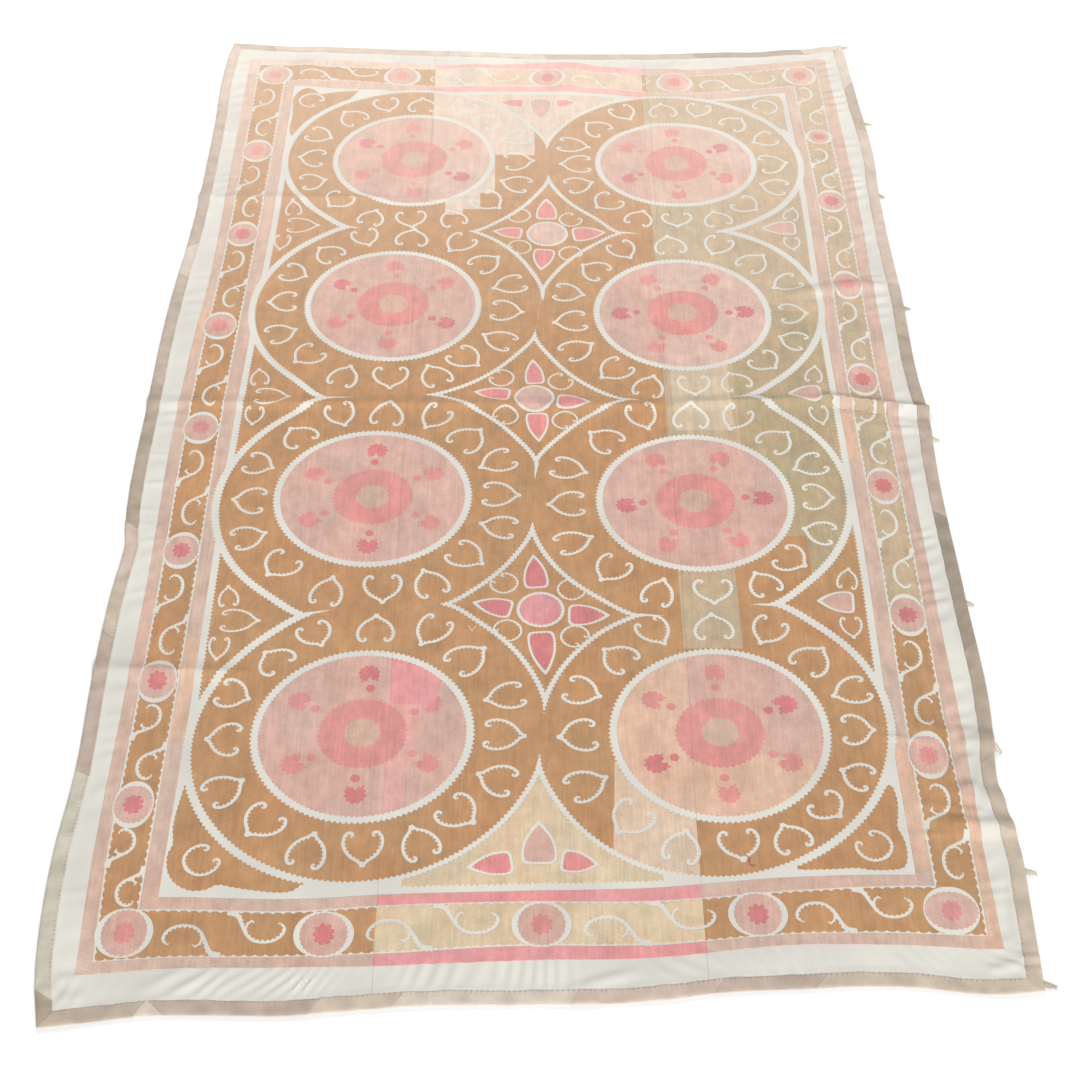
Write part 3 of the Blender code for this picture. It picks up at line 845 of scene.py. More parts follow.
def oval_line(centre, reach_x, reach_y, points=90):
    """Closed oval line around a centre, anticlockwise, a little squarer than an ellipse."""
    angle = 2 * math.pi * np.arange(points) / points
    square = np.sign(np.cos(angle)) * np.abs(np.cos(angle)) ** 0.92
    return centre + reach_x * square + 1j * reach_y * np.sin(angle)


def embroidery():
    """The whole work list, from the ground up."""
    border()
    medallions()
    field_details()
    rosettes()


# Threads as the eye sees them, sRGB.
THREADS = {
    "bare": "#DFDBD1",
    "tobacco": "#B88F69",
    "sage": "#B2A284",
    "light_sage": "#BDAA90",
    "pale_sage": "#CBB9A1",
    "straw": "#D4C1A5",
    "cream": "#D6C4B6",
    "light_tan": "#D5BDA8",
    "shell": "#CEABA0",
    "pale_shell": "#D3B5AA",
    "rose": "#D4928F",
    "deep_rose": "#CC8082",
    "light_rose": "#D3969A",
    "petal_pink": "#DA9190",
    "dusty_pink": "#D9A8A2",
    "coral": "#DC9A9C",
    "pale_coral": "#E1AAA9",
    "salmon": "#CCB1A4",
    "pale_stripe": "#D8C2B6",
    "peach": "#D7B5A0",
    "heart": "#C9AA9B",
}

# What each part of the design is worked in, unless a patch below says otherwise.
GROUNDS = {
    "bare": "bare", "field": "tobacco", "rest": "tobacco", "corner": "tobacco", "band": "tobacco",
    "stripe": "salmon", "inner_stripe": "salmon", "disc": "shell", "ring": "rose", "rose": "rose",
    "deep_rose": "deep_rose", "light_rose": "light_rose", "petal_pink": "petal_pink",
    "shell": "shell", "pale_shell": "pale_shell", "heart": "heart",
}

# Patches in which the embroiderer went on with another thread, as (parts, thread,
# corners). Their sides follow the weave, as each loom width was filled by itself.
PATCHES = (
    (("field", "corner"), "light_sage", ((266, 1500), (850, 1500), (850, -492), (515, -492),
                                         (515, -374), (368, -374), (368, -668), (258, -668))),
    (("rest",), "light_sage", ((276, 1500), (850, 1500), (850, -369), (276, -369))),
    (("field",), "sage", ((410, 330), (850, 330), (850, -492), (515, -492), (515, -374), (410, -374))),
    (("rest",), "sage", ((410, 330), (850, 330), (850, -369), (410, -369))),
    (("field",), "pale_sage", ((276, 145), (398, 145), (398, -66), (276, -66))),
    (("band",), "light_sage", ((600, 1160), (850, 1160), (850, -582), (600, -582))),
    (("band",), "light_sage", ((275, 1500), (850, 1500), (850, 1160), (275, 1160))),
    (("field",), "cream", ((-264, 1500), (-10, 1500), (-10, 936), (-106, 936), (-106, 778),
                           (-140, 778), (-140, 712), (-180, 712), (-180, 690), (-222, 690),
                           (-222, 812), (-264, 812))),
    (("rest",), "cream", ((-264, 1500), (266, 1500), (266, 1000), (-264, 1000))),
    (("band",), "cream", ((-264, 1500), (-130, 1500), (-130, 1160), (-264, 1160))),
    (("band",), "light_tan", ((-130, 1500), (266, 1500), (266, 1160), (-130, 1160))),
    (("rest", "band"), "straw", ((-278, -1400), (256, -1400), (256, -900), (-278, -900))),
    (("field",), "light_tan", ((122, -930), (110, -1190), (256, -1190), (256, -930))),
    (("stripe", "inner_stripe"), "pale_coral", ((-264, 1500), (266, 1500), (276, 1100), (-264, 1100))),
    (("stripe",), "pale_stripe", ((-800, 1500), (-264, 1500), (-264, 1300), (-800, 1300))),
    (("stripe", "inner_stripe"), "coral", ((-278, -1400), (256, -1400), (256, -1100), (-278, -1100))),
    (("stripe",), "peach", ((-770, 330), (-722, 330), (-722, 190), (-770, 190))),
    (("inner_stripe",), "peach", ((-690, -640), (-620, -640), (-620, -880), (-690, -880))),
    (("inner_stripe",), "peach", ((600, -880), (670, -880), (670, -1160), (600, -1160))),
    (("stripe",), "peach", ((700, -1010), (760, -1010), (760, -1330), (700, -1330))),
    (("inner_stripe",), "peach", ((610, -10), (680, -10), (680, -150), (610, -150))),
    (("disc", "ring", "rose", "deep_rose"), "coral",
     ((-278, -660), (-182, -690), (-184, -745), (-200, -800), (-216, -812), (-278, -800))),
    (("disc",), "dusty_pink", ((-278, -800), (-218, -800), (-228, -900), (-240, -910), (-242, -1050),
                               (-278, -1080))),
    (("disc",), "peach", ((110, -690), (256, -690), (256, -905), (470, -925), (470, -1080),
                          (110, -1080))),
    (("disc",), "pale_shell", ((266, 1200), (560, 1200), (560, 120), (266, 120))),
    (("disc",), "pale_shell", ((-140, 1200), (-260, 1200), (-260, 700), (-90, 700))),
)


def split_sides(shape, longest=6.0):
    """The same closed shape, with more points on its long sides, so that it follows folds."""
    ahead = np.roll(shape, -1)
    counts = np.maximum(1, np.ceil(np.abs(ahead - shape) / longest)).astype(int)
    first = np.repeat(np.cumsum(counts) - counts, counts)
    share = (np.arange(counts.sum()) - first) / np.repeat(counts, counts)
    return np.repeat(shape, counts) + np.repeat(ahead - shape, counts) * share


def edge_pairs(shapes):
    """Start and end points of all sides of closed shapes."""
    starts = np.concatenate(shapes)
    ends = np.concatenate([np.roll(shape, -1) for shape in shapes])
    return starts, ends


def inside(points, shape):
    """Whether each point lies in a closed shape: its winding number isn't nothing.

    The points are sorted by y, so that each side meets one run of them. All runs are
    laid end to end, and the crossings of each point are summed.
    """
    order = np.argsort(points.imag)
    y = points.imag[order]
    start, end = shape, np.roll(shape, -1)
    low, high = np.minimum(start.imag, end.imag), np.maximum(start.imag, end.imag)
    first, last = np.searchsorted(y, low), np.searchsorted(y, high)
    counts = last - first
    side = np.repeat(np.arange(len(shape)), counts)
    which = np.arange(counts.sum()) - np.repeat(np.cumsum(counts) - counts, counts) + first[side]
    p = points[order][which]
    rise = end.imag[side] - start.imag[side]
    t = (p.imag - start.imag[side]) / np.where(rise == 0, 1, rise)
    crossing = start.real[side] + t * (end.real[side] - start.real[side]) > p.real
    winding = np.bincount(which, weights=np.sign(rise) * crossing, minlength=len(points))
    result = np.zeros(len(points), bool)
    result[order] = np.abs(winding) > 0.5
    return result


# Side of the cells that free points stay out of where a shape has points, and how far
# around a panel shapes still count.
CELL = 5
AROUND = 15


def triangulated(outline, shapes, extra):
    """Triangles inside an outline that keep all sides of the shapes as their own sides."""
    starts, ends = edge_pairs([outline] + shapes)
    low = complex(outline.real.min() - AROUND, outline.imag.min() - AROUND)
    high = complex(outline.real.max() + AROUND, outline.imag.max() + AROUND)
    near = (starts.real > low.real) & (starts.real < high.real)
    near &= (starts.imag > low.imag) & (starts.imag < high.imag)
    starts, ends = starts[near], ends[near]
    points, index = np.unique(np.round(np.concatenate([starts, ends]), 2), return_inverse=True)

    def cell(point):
        return int(point.real // CELL), int(point.imag // CELL)

    taken = {cell(p) for p in points}
    free = [p for p in extra if cell(p) not in taken]
    points = np.concatenate([points, np.array(free, complex)])
    pairs = index.reshape(2, -1).T
    pairs = pairs[pairs[:, 0] != pairs[:, 1]]
    flat = [Vector((p.real, p.imag)) for p in points]
    found, _, faces, _, _, _ = delaunay_2d_cdt(flat, pairs.tolist(), [], 0, 0.005)
    vertices = np.array([(v.x, v.y) for v in found]) @ np.array([1, 1j])
    triangles = np.array(faces)
    keep = inside(vertices[triangles].mean(1), outline)
    return vertices, triangles[keep]


def panel_outline(west, east, inset=1.3, step=7.0):
    """Outline of a panel, anticlockwise: west and east are columns of the seams' table, or
    None at the cloth's edge."""
    def west_x(y):
        return edge_at(LEFT_EDGE, y) + inset if west is None else edge_at(SEAMS, y, west) + GAP / 2

    def east_x(y):
        return edge_at(RIGHT_EDGE, y) - inset if east is None else edge_at(SEAMS, y, east) - GAP / 2

    return four_sided(
        west_x, east_x,
        lambda x: edge_at(NEAR_EDGE, x) + inset,
        lambda x: edge_at(FAR_EDGE, x) - inset,
        lambda start, end: np.linspace(start, end, max(2, int(abs(end - start) / step)), endpoint=False))


def free_points(outline, spacing, fine_spacing):
    """Points between the shapes: a staggered grid, finer where the cloth isn't flat, and
    one row beside the outline that keeps its slope short."""
    def grid(step):
        x = np.arange(outline.real.min() + 3, outline.real.max() - 3, step)
        y = np.arange(outline.imag.min() + 3, outline.imag.max() - 3, step * 0.87)
        shift = (np.arange(len(y)) % 2 * step / 2)[:, None]
        points = (x[None, :] + shift + 1j * y[:, None]).ravel()
        return points[inside(points, outline)]

    def not_flat(points):
        x, y = points.real, points.imag
        height = level(x, y)
        slope = np.hypot(level(x + 4, y) - height, level(x, y + 4) - height) / 4
        return (edge_distance(x, y) < MARGIN) | (height > FOLD_START) | (slope > STEEP)

    coarse, fine = grid(spacing), grid(fine_spacing)
    coarse, fine = coarse[~not_flat(coarse)], fine[not_flat(fine)]
    beside = outline + leftward(outline, True) * 2.2
    return np.concatenate([coarse, fine, beside])


def colour_of(hex_colour):
    """Linear colour of an sRGB hex value."""
    value = np.array([int(hex_colour[k:k + 2], 16) / 255 for k in (1, 3, 5)])
    return np.where(value <= 0.04045, value / 12.92, ((value + 0.055) / 1.055) ** 2.4)


def paint(points):
    """Thread of each point: the last shape that holds it, and the last patch on its part."""
    parts = list(GROUNDS)
    threads = list(THREADS)
    part = np.zeros(len(points), int)
    for name, shape in work:
        box = (points.real > shape.real.min()) & (points.real < shape.real.max())
        box &= (points.imag > shape.imag.min()) & (points.imag < shape.imag.max())
        held = np.flatnonzero(box)
        if len(held):
            part[held[inside(points[held], shape)]] = parts.index(name)
    thread = np.array([threads.index(GROUNDS[name]) for name in parts])[part]
    for names, other, corners in PATCHES:
        shape = np.array([complex(x, y) for x, y in corners])
        held = np.flatnonzero(np.isin(part, [parts.index(name) for name in names]))
        thread[held[inside(points[held], shape)]] = threads.index(other)
    return part > 0, thread


def add_mesh(name, vertices, faces, materials, face_material, colours, uv=None):
    """New object of polygons: each with a material and a thread colour."""
    mesh = bpy.data.meshes.new(name)
    mesh.from_pydata((np.asarray(vertices) * MM).tolist(), [], faces)
    for material in materials:
        mesh.materials.append(material)
    mesh.polygons.foreach_set("material_index", np.asarray(face_material, np.int32))
    counts = np.array([len(face) for face in faces])
    layer = mesh.color_attributes.new("thread", "FLOAT_COLOR", "CORNER")
    rgba = np.concatenate([colours, np.ones((len(colours), 1))], 1)
    layer.data.foreach_set("color", np.repeat(rgba, counts, 0).astype(np.float32).ravel())
    if uv is not None:
        corners = np.concatenate([np.asarray(face) for face in faces])
        bake = mesh.uv_layers.new(name="OFBake")
        bake.data.foreach_set("uv", uv(corners, np.repeat(np.arange(len(faces)), counts)).ravel())
    mesh.shade_smooth()
    mesh.set_sharp_from_angle(angle=math.radians(38))
    piece = bpy.data.objects.new(name, mesh)
    bpy.context.collection.objects.link(piece)
    return piece


def directed(triangles, count):
    """Each triangle's three sides as numbers start*count + end, and the reverse."""
    a, b = triangles, np.roll(triangles, -1, 1)
    return (a * count + b).ravel(), (b * count + a).ravel()


def leaned(flat, triangles, silk, low_corners):
    """Points moved inwards where silk meets cotton, so that the silk's wall leans."""
    corner = triangles[silk].ravel()
    centres = flat[triangles].mean(1)
    pull = np.zeros(len(flat), complex)
    np.add.at(pull, corner, np.repeat(centres[silk], 3) - flat[corner])
    reach = np.full(len(flat), 10.0)
    side = np.abs(flat[triangles] - flat[np.roll(triangles, -1, 1)])
    np.minimum.at(reach, triangles.ravel(), side.ravel())
    np.minimum.at(reach, np.roll(triangles, -1, 1).ravel(), side.ravel())
    lean = np.where(low_corners, np.minimum(WALL_LEAN, 0.3 * reach), 0)
    return flat + pull / np.maximum(np.abs(pull), 1e-9) * lean


def loop_of(starts, ends):
    """Points of an outline in their order, from the start and end of each of its sides."""
    follow = dict(zip(starts.tolist(), ends.tolist()))
    loop = [int(starts[0])]
    while follow[loop[-1]] != loop[0]:
        loop.append(follow[loop[-1]])
    return np.array(loop)


# Where the top and the underside lie on a panel's map: start and share of the map.
MAP_TOP = (0.005, 0.75)
MAP_UNDER = (0.765, 0.23)
MAP_LENGTH = (0.005, 0.99)


def panel(name, node, west, east, shapes, materials):
    """One panel: cotton, silk on it with a leaning wall at its edge, rim and underside."""
    outline = panel_outline(west, east)
    flat, triangles = triangulated(outline, shapes, free_points(outline, *TOP_POINTS))
    count = len(flat)
    silk, thread = paint(flat[triangles].mean(1))
    along, back = directed(triangles, count)
    rim_sides = along[~np.isin(along, back)]
    on_rim = np.zeros(count, bool)
    on_rim[np.concatenate([rim_sides // count, rim_sides % count])] = True

    # Where silk meets cotton the corner is split: one on the cotton, one on the silk.
    silk_index = np.where(on_rim, np.arange(count), np.arange(count) + count)
    low_corners = np.zeros(count, bool)
    low_corners[triangles[~silk].ravel()] = True
    on_silk = leaned(flat, triangles, silk, low_corners)
    top = sheet_height(flat) + PANEL + np.where(on_rim & ~low_corners, RIM_SILK * SILK_HEIGHT, 0)
    faces = np.where(silk[:, None], silk_index[triangles], triangles)

    # Walls along the sides between silk and cotton.
    silk_along = directed(triangles[silk], count)[0]
    between = np.isin(silk_along, directed(triangles[~silk], count)[1])
    a, b = silk_along[between] // count, silk_along[between] % count
    walls = np.stack([a, b, silk_index[b], silk_index[a]], 1)

    # The underside has the same outline and wider triangles.
    loop = loop_of(rim_sides // count, rim_sides % count)
    extra = free_points(flat[loop], *UNDER_POINTS)[:-len(loop)]
    under_flat, under_triangles = triangulated(flat[loop], [], extra)
    under = under_triangles[:, ::-1] + 2 * count
    nearest = np.array([np.abs(under_flat - p).argmin() for p in flat[loop]]) + 2 * count
    rim = np.stack([nearest, np.roll(nearest, -1), np.roll(loop, -1), loop], 1)

    vertices = np.concatenate([
        np.stack([flat.real, flat.imag, top], 1),
        np.stack([on_silk.real, on_silk.imag, top + SILK_HEIGHT], 1),
        np.stack([under_flat.real, under_flat.imag, sheet_height(under_flat)], 1),
    ])
    all_faces = faces.tolist() + [list(dict.fromkeys(wall)) for wall in walls.tolist()]
    all_faces += under.tolist() + rim.tolist()
    used = np.unique(np.concatenate([np.ravel(face) for face in all_faces]))
    renumber = np.zeros(len(vertices), int)
    renumber[used] = np.arange(len(used))
    all_faces = [[int(renumber[k]) for k in face] for face in all_faces]
    below = len(under) + len(rim)
    kinds = np.concatenate([silk, np.ones(len(walls), bool), np.zeros(below, bool)])
    wall_thread = np.repeat(thread[silk], 3)[between]
    threads = np.concatenate([thread, wall_thread, np.zeros(below, int)])
    palette = np.array([colour_of(value) for value in THREADS.values()])
    above = len(faces) + len(walls)
    is_under = np.zeros(len(all_faces), bool)
    is_under[above:above + len(under)] = True
    kept = vertices[used]

    def uv(corners, face):
        u = (kept[corners, 0] - flat.real.min()) / np.ptp(flat.real)
        v = (kept[corners, 1] - flat.imag.min()) / np.ptp(flat.imag)
        u = np.where(is_under[face], MAP_UNDER[0] + MAP_UNDER[1] * u, MAP_TOP[0] + MAP_TOP[1] * u)
        return np.stack([u, MAP_LENGTH[0] + MAP_LENGTH[1] * v], 1).astype(np.float32)

    piece = add_mesh(name, kept, all_faces, materials, kinds, palette[threads], uv)
    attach(piece, "root")
    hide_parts(node)
    width = float((outline.real.max() - outline.real.min()) * MM)
    return piece, (round(width, 3), round(LENGTH * MM, 3))


# Materials.

def new_material(name, roughness, specular, sheen=0.0):
    """A material with a principled shader, and the small helper that adds its nodes."""
    material = bpy.data.materials.new(name)
    material.use_nodes = True
    nodes, links = material.node_tree.nodes, material.node_tree.links
    shader = nodes["Principled BSDF"]
    shader.inputs["Roughness"].default_value = roughness
    shader.inputs["Specular IOR Level"].default_value = specular
    shader.inputs["Sheen Weight"].default_value = sheen

    def node(kind, settings=None, **inputs):
        """Adds a node: settings are its properties, inputs its values or links."""
        made = nodes.new(kind)
        for key, value in (settings or {}).items():
            setattr(made, key, value)
        for key, value in inputs.items():
            name_or_number = int(key[1:]) if key[1:].isdigit() else key.replace("_", " ")
            socket = made.inputs[name_or_number]
            if isinstance(value, bpy.types.NodeSocket):
                links.new(value, socket)
            else:
                socket.default_value = value
        return made

    return material, shader, node, links


# Depth of every bump, in metres.
BUMP_DEPTH = 0.0004


def laid_silk():
    """Silk laid along the cloth and couched down: a soft lustre, faint streaks where one
    skein ends and the next starts, warm worn clouds, fine threads and couching rows."""
    material, shader, node, links = new_material("silk_thread_laid_and_couched", 0.7, 0.18, 0.06)
    place = node("ShaderNodeTexCoord").outputs["Object"]
    thread = node("ShaderNodeAttribute", {"attribute_name": "thread"}).outputs["Color"]

    def noise(stretch, detail, low, high, roughness=0.55):
        mapped = node("ShaderNodeMapping", Vector=place, Scale=stretch).outputs[0]
        made = node("ShaderNodeTexNoise", Vector=mapped, Scale=1.0, Detail=detail,
                    Roughness=roughness)
        return node("ShaderNodeMapRange", Value=made.outputs["Fac"], i1=0.3, i2=0.7, i3=low,
                    i4=high).outputs[0]

    def times(first, second):
        return node("ShaderNodeMath", {"operation": "MULTIPLY"}, i0=first, i1=second).outputs[0]

    streaks = noise((260, 9.0, 1), 3.0, 0.93, 1.07)
    skeins = noise((60, 11.0, 1), 4.0, 0.94, 1.06)
    blotches = noise((14, 10.0, 1), 6.0, 0.86, 1.11, 0.65)
    wear = noise((48, 34, 1), 5.0, 0.89, 1.10, 0.7)
    grain = noise((900, 500, 1), 2.0, 0.93, 1.07)
    product = times(times(times(streaks, skeins), times(blotches, grain)), wear)
    warm = node("ShaderNodeMix", {"data_type": "RGBA"}, i0=noise((7, 5.5, 1), 5.0, 0.0, 1.0),
                i6=(0.98, 1.02, 1.0, 1), i7=(1.055, 0.955, 0.90, 1)).outputs[2]
    warmed = node("ShaderNodeVectorMath", {"operation": "MULTIPLY"}, i0=thread, i1=warm)
    toned = node("ShaderNodeVectorMath", {"operation": "SCALE"}, i0=warmed.outputs[0], i3=product)
    # Painted haze: the silk's colour grows paler towards the far end, in place of the brighter light
    # there.
    links.new(painted_far_haze(node, place, toned.outputs[0], "#FAE6D2", 0.33), shader.inputs["Base Color"])
    # Real threads lie 0.8 mm apart. They are drawn at 2.4 mm, so that they show.
    threads = node("ShaderNodeTexWave", {"wave_type": "BANDS", "bands_direction": "X"},
                   Vector=place, Scale=131.0, Distortion=1.2, Detail=2.0, Detail_Scale=2.0)
    rows = node("ShaderNodeTexWave", {"wave_type": "BANDS", "bands_direction": "DIAGONAL"},
                Vector=node("ShaderNodeMapping", Vector=place, Scale=(0.7, 1.6, 0.0)).outputs[0],
                Scale=48.0, Distortion=1.5, Detail=2.0, Detail_Scale=3.0)
    relief = node("ShaderNodeMath", {"operation": "ADD"}, i0=threads.outputs["Fac"],
                  i1=rows.outputs["Fac"])
    bump = node("ShaderNodeBump", Height=relief.outputs[0], Strength=0.35, Distance=BUMP_DEPTH)
    links.new(bump.outputs[0], shader.inputs["Normal"])
    shader.inputs["Sheen Roughness"].default_value = 0.5
    return material


def painted_far_haze(node, place, colour, far_haze_colour="#F6E6D6", most=0.30):
    """Painted light: colour mixed towards a pale haze towards the far end, standing in for the brighter,
    washed-out light there.
    """
    split = node("ShaderNodeSeparateXYZ", Vector=place)
    along = node("ShaderNodeMapRange", {"interpolation_type": "SMOOTHSTEP"},
                 Value=split.outputs["Y"], i1=-0.1, i2=1.7, i3=0.0, i4=most)
    mixed = node("ShaderNodeMix", {"data_type": "RGBA"}, i0=along.outputs[0], i6=colour,
                 i7=(*colour_of(far_haze_colour), 1))
    return mixed.outputs[2]


def plain_weave(node, place, scale, distortion, strength):
    """Bump of a plain weave, its warp times its weft."""
    warp, weft = [node("ShaderNodeTexWave", {"bands_direction": axis}, Vector=place, Scale=scale,
                       Distortion=distortion).outputs["Fac"] for axis in "XY"]
    relief = node("ShaderNodeMath", {"operation": "MULTIPLY"}, i0=warp, i1=weft)
    return node("ShaderNodeBump", Height=relief.outputs[0], Strength=strength,
                Distance=BUMP_DEPTH).outputs[0]


def hand_woven_cotton():
    """Undyed hand-woven cotton, washed and worn: warm and cool clouds, and the even grain
    of a plain weave."""
    material, shader, node, links = new_material("cotton_hand_woven_plain", 0.85, 0.15, 0.06)
    place = node("ShaderNodeTexCoord").outputs["Object"]
    clouds = node("ShaderNodeTexNoise", Vector=place, Scale=5.0, Detail=6.0)
    ramp = node("ShaderNodeValToRGB", Fac=clouds.outputs["Fac"])
    for number, (position, colour) in enumerate(((0.30, "#CECBC4"), (0.70, "#DFDCD2"))):
        ramp.color_ramp.elements[number].position = position
        ramp.color_ramp.elements[number].color = (*colour_of(colour), 1)
    # Painted haze: the cotton grows paler towards the far end, in place of the brighter light there.
    painted_haze_colour = painted_far_haze(node, place, ramp.outputs["Color"], most=0.20)
    links.new(painted_haze_colour, shader.inputs["Base Color"])
    # Real picks lie 1 mm apart. They are drawn at 2.6 mm, so that they show.
    links.new(plain_weave(node, place, 121.0, 0.8, 0.25), shader.inputs["Normal"])
    return material


def washed_cotton(name):
    """Washed-out cotton of the binding and ties: each length in its own tone, mottled,
    with a plain weave."""
    material, shader, node, links = new_material(name, 0.88, 0.2, 0.10)
    place = node("ShaderNodeTexCoord").outputs["Object"]
    tone = node("ShaderNodeAttribute", {"attribute_name": "thread"}).outputs["Color"]
    clouds = node("ShaderNodeTexNoise", Vector=place, Scale=28.0, Detail=6.0)
    mottle = node("ShaderNodeMapRange", Value=clouds.outputs["Fac"], i1=0.3, i2=0.7, i3=0.83,
                  i4=1.12)
    toned = node("ShaderNodeVectorMath", {"operation": "SCALE"}, i0=tone, i3=mottle.outputs[0])
    # Painted haze: the binding grows paler towards the far end, in place of the brighter light there.
    links.new(painted_far_haze(node, place, toned.outputs[0]), shader.inputs["Base Color"])
    links.new(plain_weave(node, place, 140.0, 1.0, 0.3), shader.inputs["Normal"])
    return material


# Binding: joins along each edge as in the solids, (place, lean), and each length's tone.
LEFT_JOINS = (
    (-1385, -22), (-950, -14), (-622, -24), (-500, 26), (-336, -22),
    (95, -26), (462, -18), (560, 18), (1165, -24),
)
RIGHT_JOINS = (
    (-1085, 14), (-915, -20), (-650, -22), (-325, 24), (-52, 20),
    (232, 22), (424, 8), (1040, 18), (1268, -26),
)
NEAR_JOINS = (
    (-646, 21), (-601, -20), (-376, 24), (-245, 22), (35, 18), (262, 20), (425, 22),
)
FAR_JOINS = ((-694, 18), (-234, 10), (10, 16), (402, 12), (684, 14))
TONES = {
    "cream": "#C6B7A5", "pale": "#D0C4B5", "pinkish": "#CBB8AA", "greenish": "#C9C2B1",
    "grey": "#AE9F8E", "dark": "#9F9182", "grey_pink": "#BBA99B", "medium": "#BAAB9B",
}
LEFT_TONES = ("grey", "greenish", "grey_pink", "cream", "pinkish", "grey", "medium", "pale",
              "grey_pink", "pinkish")
RIGHT_TONES = ("cream", "medium", "grey", "dark", "grey_pink", "grey", "medium", "pinkish",
               "grey", "pale")
NEAR_TONES = ("medium", "pale", "grey_pink", "cream", "pale", "pinkish", "grey_pink", "cream")
FAR_TONES = ("medium", "pinkish", "pale", "medium", "dark", "pale")

# The binding's four edges: outline, joins, tones, and the shares of width and length at a
# distance inwards and a share along the edge.
EDGES = {
    "left": (LEFT_EDGE, LEFT_JOINS, LEFT_TONES, lambda s, t: (s / WIDTH, t)),
    "right": (RIGHT_EDGE, RIGHT_JOINS, RIGHT_TONES, lambda s, t: (1 - s / WIDTH, t)),
    "near": (NEAR_EDGE, NEAR_JOINS, NEAR_TONES, lambda s, t: (t, s / LENGTH)),
    "far": (FAR_EDGE, FAR_JOINS, FAR_TONES, lambda s, t: (t, 1 - s / LENGTH)),
}

# Section of the binding as (distance inwards, height): under layer, fold, upper layer.
SECTION = (
    (26, 0), (17, 0), (8, 0), (2.6, 0.1), (0.7, 0.8), (0, 2.1), (0.7, 3.4), (2.6, 4.1),
    (6, 4.3), (10, 4.25), (14, 4.2), (18, 4.15), (20.5, 3.95), (22.5, 4.05), (24.5, 4.05),
    (25.5, 3.75), (25.5, 3.25), (22, 3.2), (12, 3.2), (3.4, 3.1), (1.6, 2.1), (3.4, 1.1),
    (12, 1.0), (26, 0.95),
)
TOP_OF_SECTION = slice(7, 16)
SECTION_STEP = 4.2
# How far the binding's inner line wanders, and how high it puckers and bulges.
WANDER = 1.2
PUCKER = 0.22
BULGE = 0.4

# Slip stitches: their line, pitch, size, radius, height over the cloth and arch.
STITCH_LINE = 21.0
STITCH_PITCH = 8.5
STITCH_INWARDS = 4.0
STITCH_ALONG = 2.2
STITCH_RADIUS = 0.32
STITCH_HEIGHT = 4.1
STITCH_ARCH = 0.35
STITCH_POINTS = 4
TUBE_SIDES = 5


def uneven(place, seed):
    """Gentle unevenness along an edge: three waves of unlike length, about -1 to 1."""
    return (np.sin(place / 19 + seed) + 0.7 * np.sin(place / 7.3 + 2 * seed)
            + 0.5 * np.sin(place / 43 + 3 * seed)) / 2.2


def tube_faces(stations, sides):
    """Faces of a tube whose points come station by station, closed at both ends."""
    index = np.arange(stations * sides).reshape(stations, sides)
    ahead = np.roll(index, -1, 1)
    faces = np.stack([index[:-1], ahead[:-1], ahead[1:], index[1:]], -1).reshape(-1, 4).tolist()
    return faces + [index[0, ::-1].tolist(), index[-1].tolist()]


def plain_piece(name, points, faces, material, colour, node=None):
    """Closed piece of one colour. It rides on the root, and may stand for a CAD node."""
    colours = np.tile(colour_of(colour), (len(faces), 1))
    piece = add_mesh(name, points, faces, [material], np.zeros(len(faces)), colours)
    face_outwards(piece)
    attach(piece, "root")
    if node:
        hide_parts(node)
    return piece


def binding_edge(side, material):
    """The lengths of one edge: the section is carried along it, and between stitches the
    upper layer puckers and its inner line wanders."""
    table, joins, tones, share_at = EDGES[side]
    low, high = table[0][0], table[-1][0]
    inwards, height = columns_of(SECTION)
    run = high - low
    top = np.zeros(len(inwards))
    top[TOP_OF_SECTION] = 1
    cuts = [(0.0, UNDER_BINDING)]
    cuts += [((place - low) / run, lean) for place, lean in joins]
    cuts += [(1.0, -UNDER_BINDING)]
    for number in range(len(cuts) - 1):
        (start, start_lean), (end, end_lean) = cuts[number], cuts[number + 1]
        first = start + (start_lean * inwards / UNDER_BINDING + GAP / 2) / run
        last = end + (end_lean * inwards / UNDER_BINDING - GAP / 2) / run
        stations = max(4, int((end - start) * run / SECTION_STEP))
        shares = first + (last - first) * np.linspace(0, 1, stations)[:, None]
        place = shares * run
        seed = 1.7 * number + len(side)
        reach = inwards + top * (inwards / BINDING) ** 3 * WANDER * uneven(place, seed)
        pucker = np.sin(2 * math.pi * (place + 0.6 * inwards) / STITCH_PITCH)
        rise = height + top * PUCKER * pucker * np.exp(-((inwards - STITCH_LINE) / 5) ** 2)
        rise = rise + top * BULGE * uneven(place * 1.7 + inwards * 2, seed)
        flat = plan(*share_at(reach, shares))
        points = np.stack([flat.real, flat.imag, level(flat.real, flat.imag) + rise], -1)
        piece = plain_piece(
            f"edge_binding_{side}_{number + 1}", points.reshape(-1, 3), tube_faces(*shares.shape),
            material, TONES[tones[number]],
            f"binding_{side}_{number + 1}")
        cut = float(run_length(flat.mean(1)) * MM)


def face_outwards(piece):
    """Turns the faces of a closed piece over where its volume comes out negative."""
    mesh = piece.data
    mesh.calc_loop_triangles()
    corners = np.zeros(len(mesh.loop_triangles) * 3, np.int32)
    mesh.loop_triangles.foreach_get("vertices", corners)
    places = np.zeros(len(mesh.vertices) * 3)
    mesh.vertices.foreach_get("co", places)
    a, b, c = places.reshape(-1, 3)[corners].reshape(-1, 3, 3).transpose(1, 0, 2)
    if np.einsum("ij,ij->i", a, np.cross(b, c)).sum() < 0:
        mesh.flip_normals()


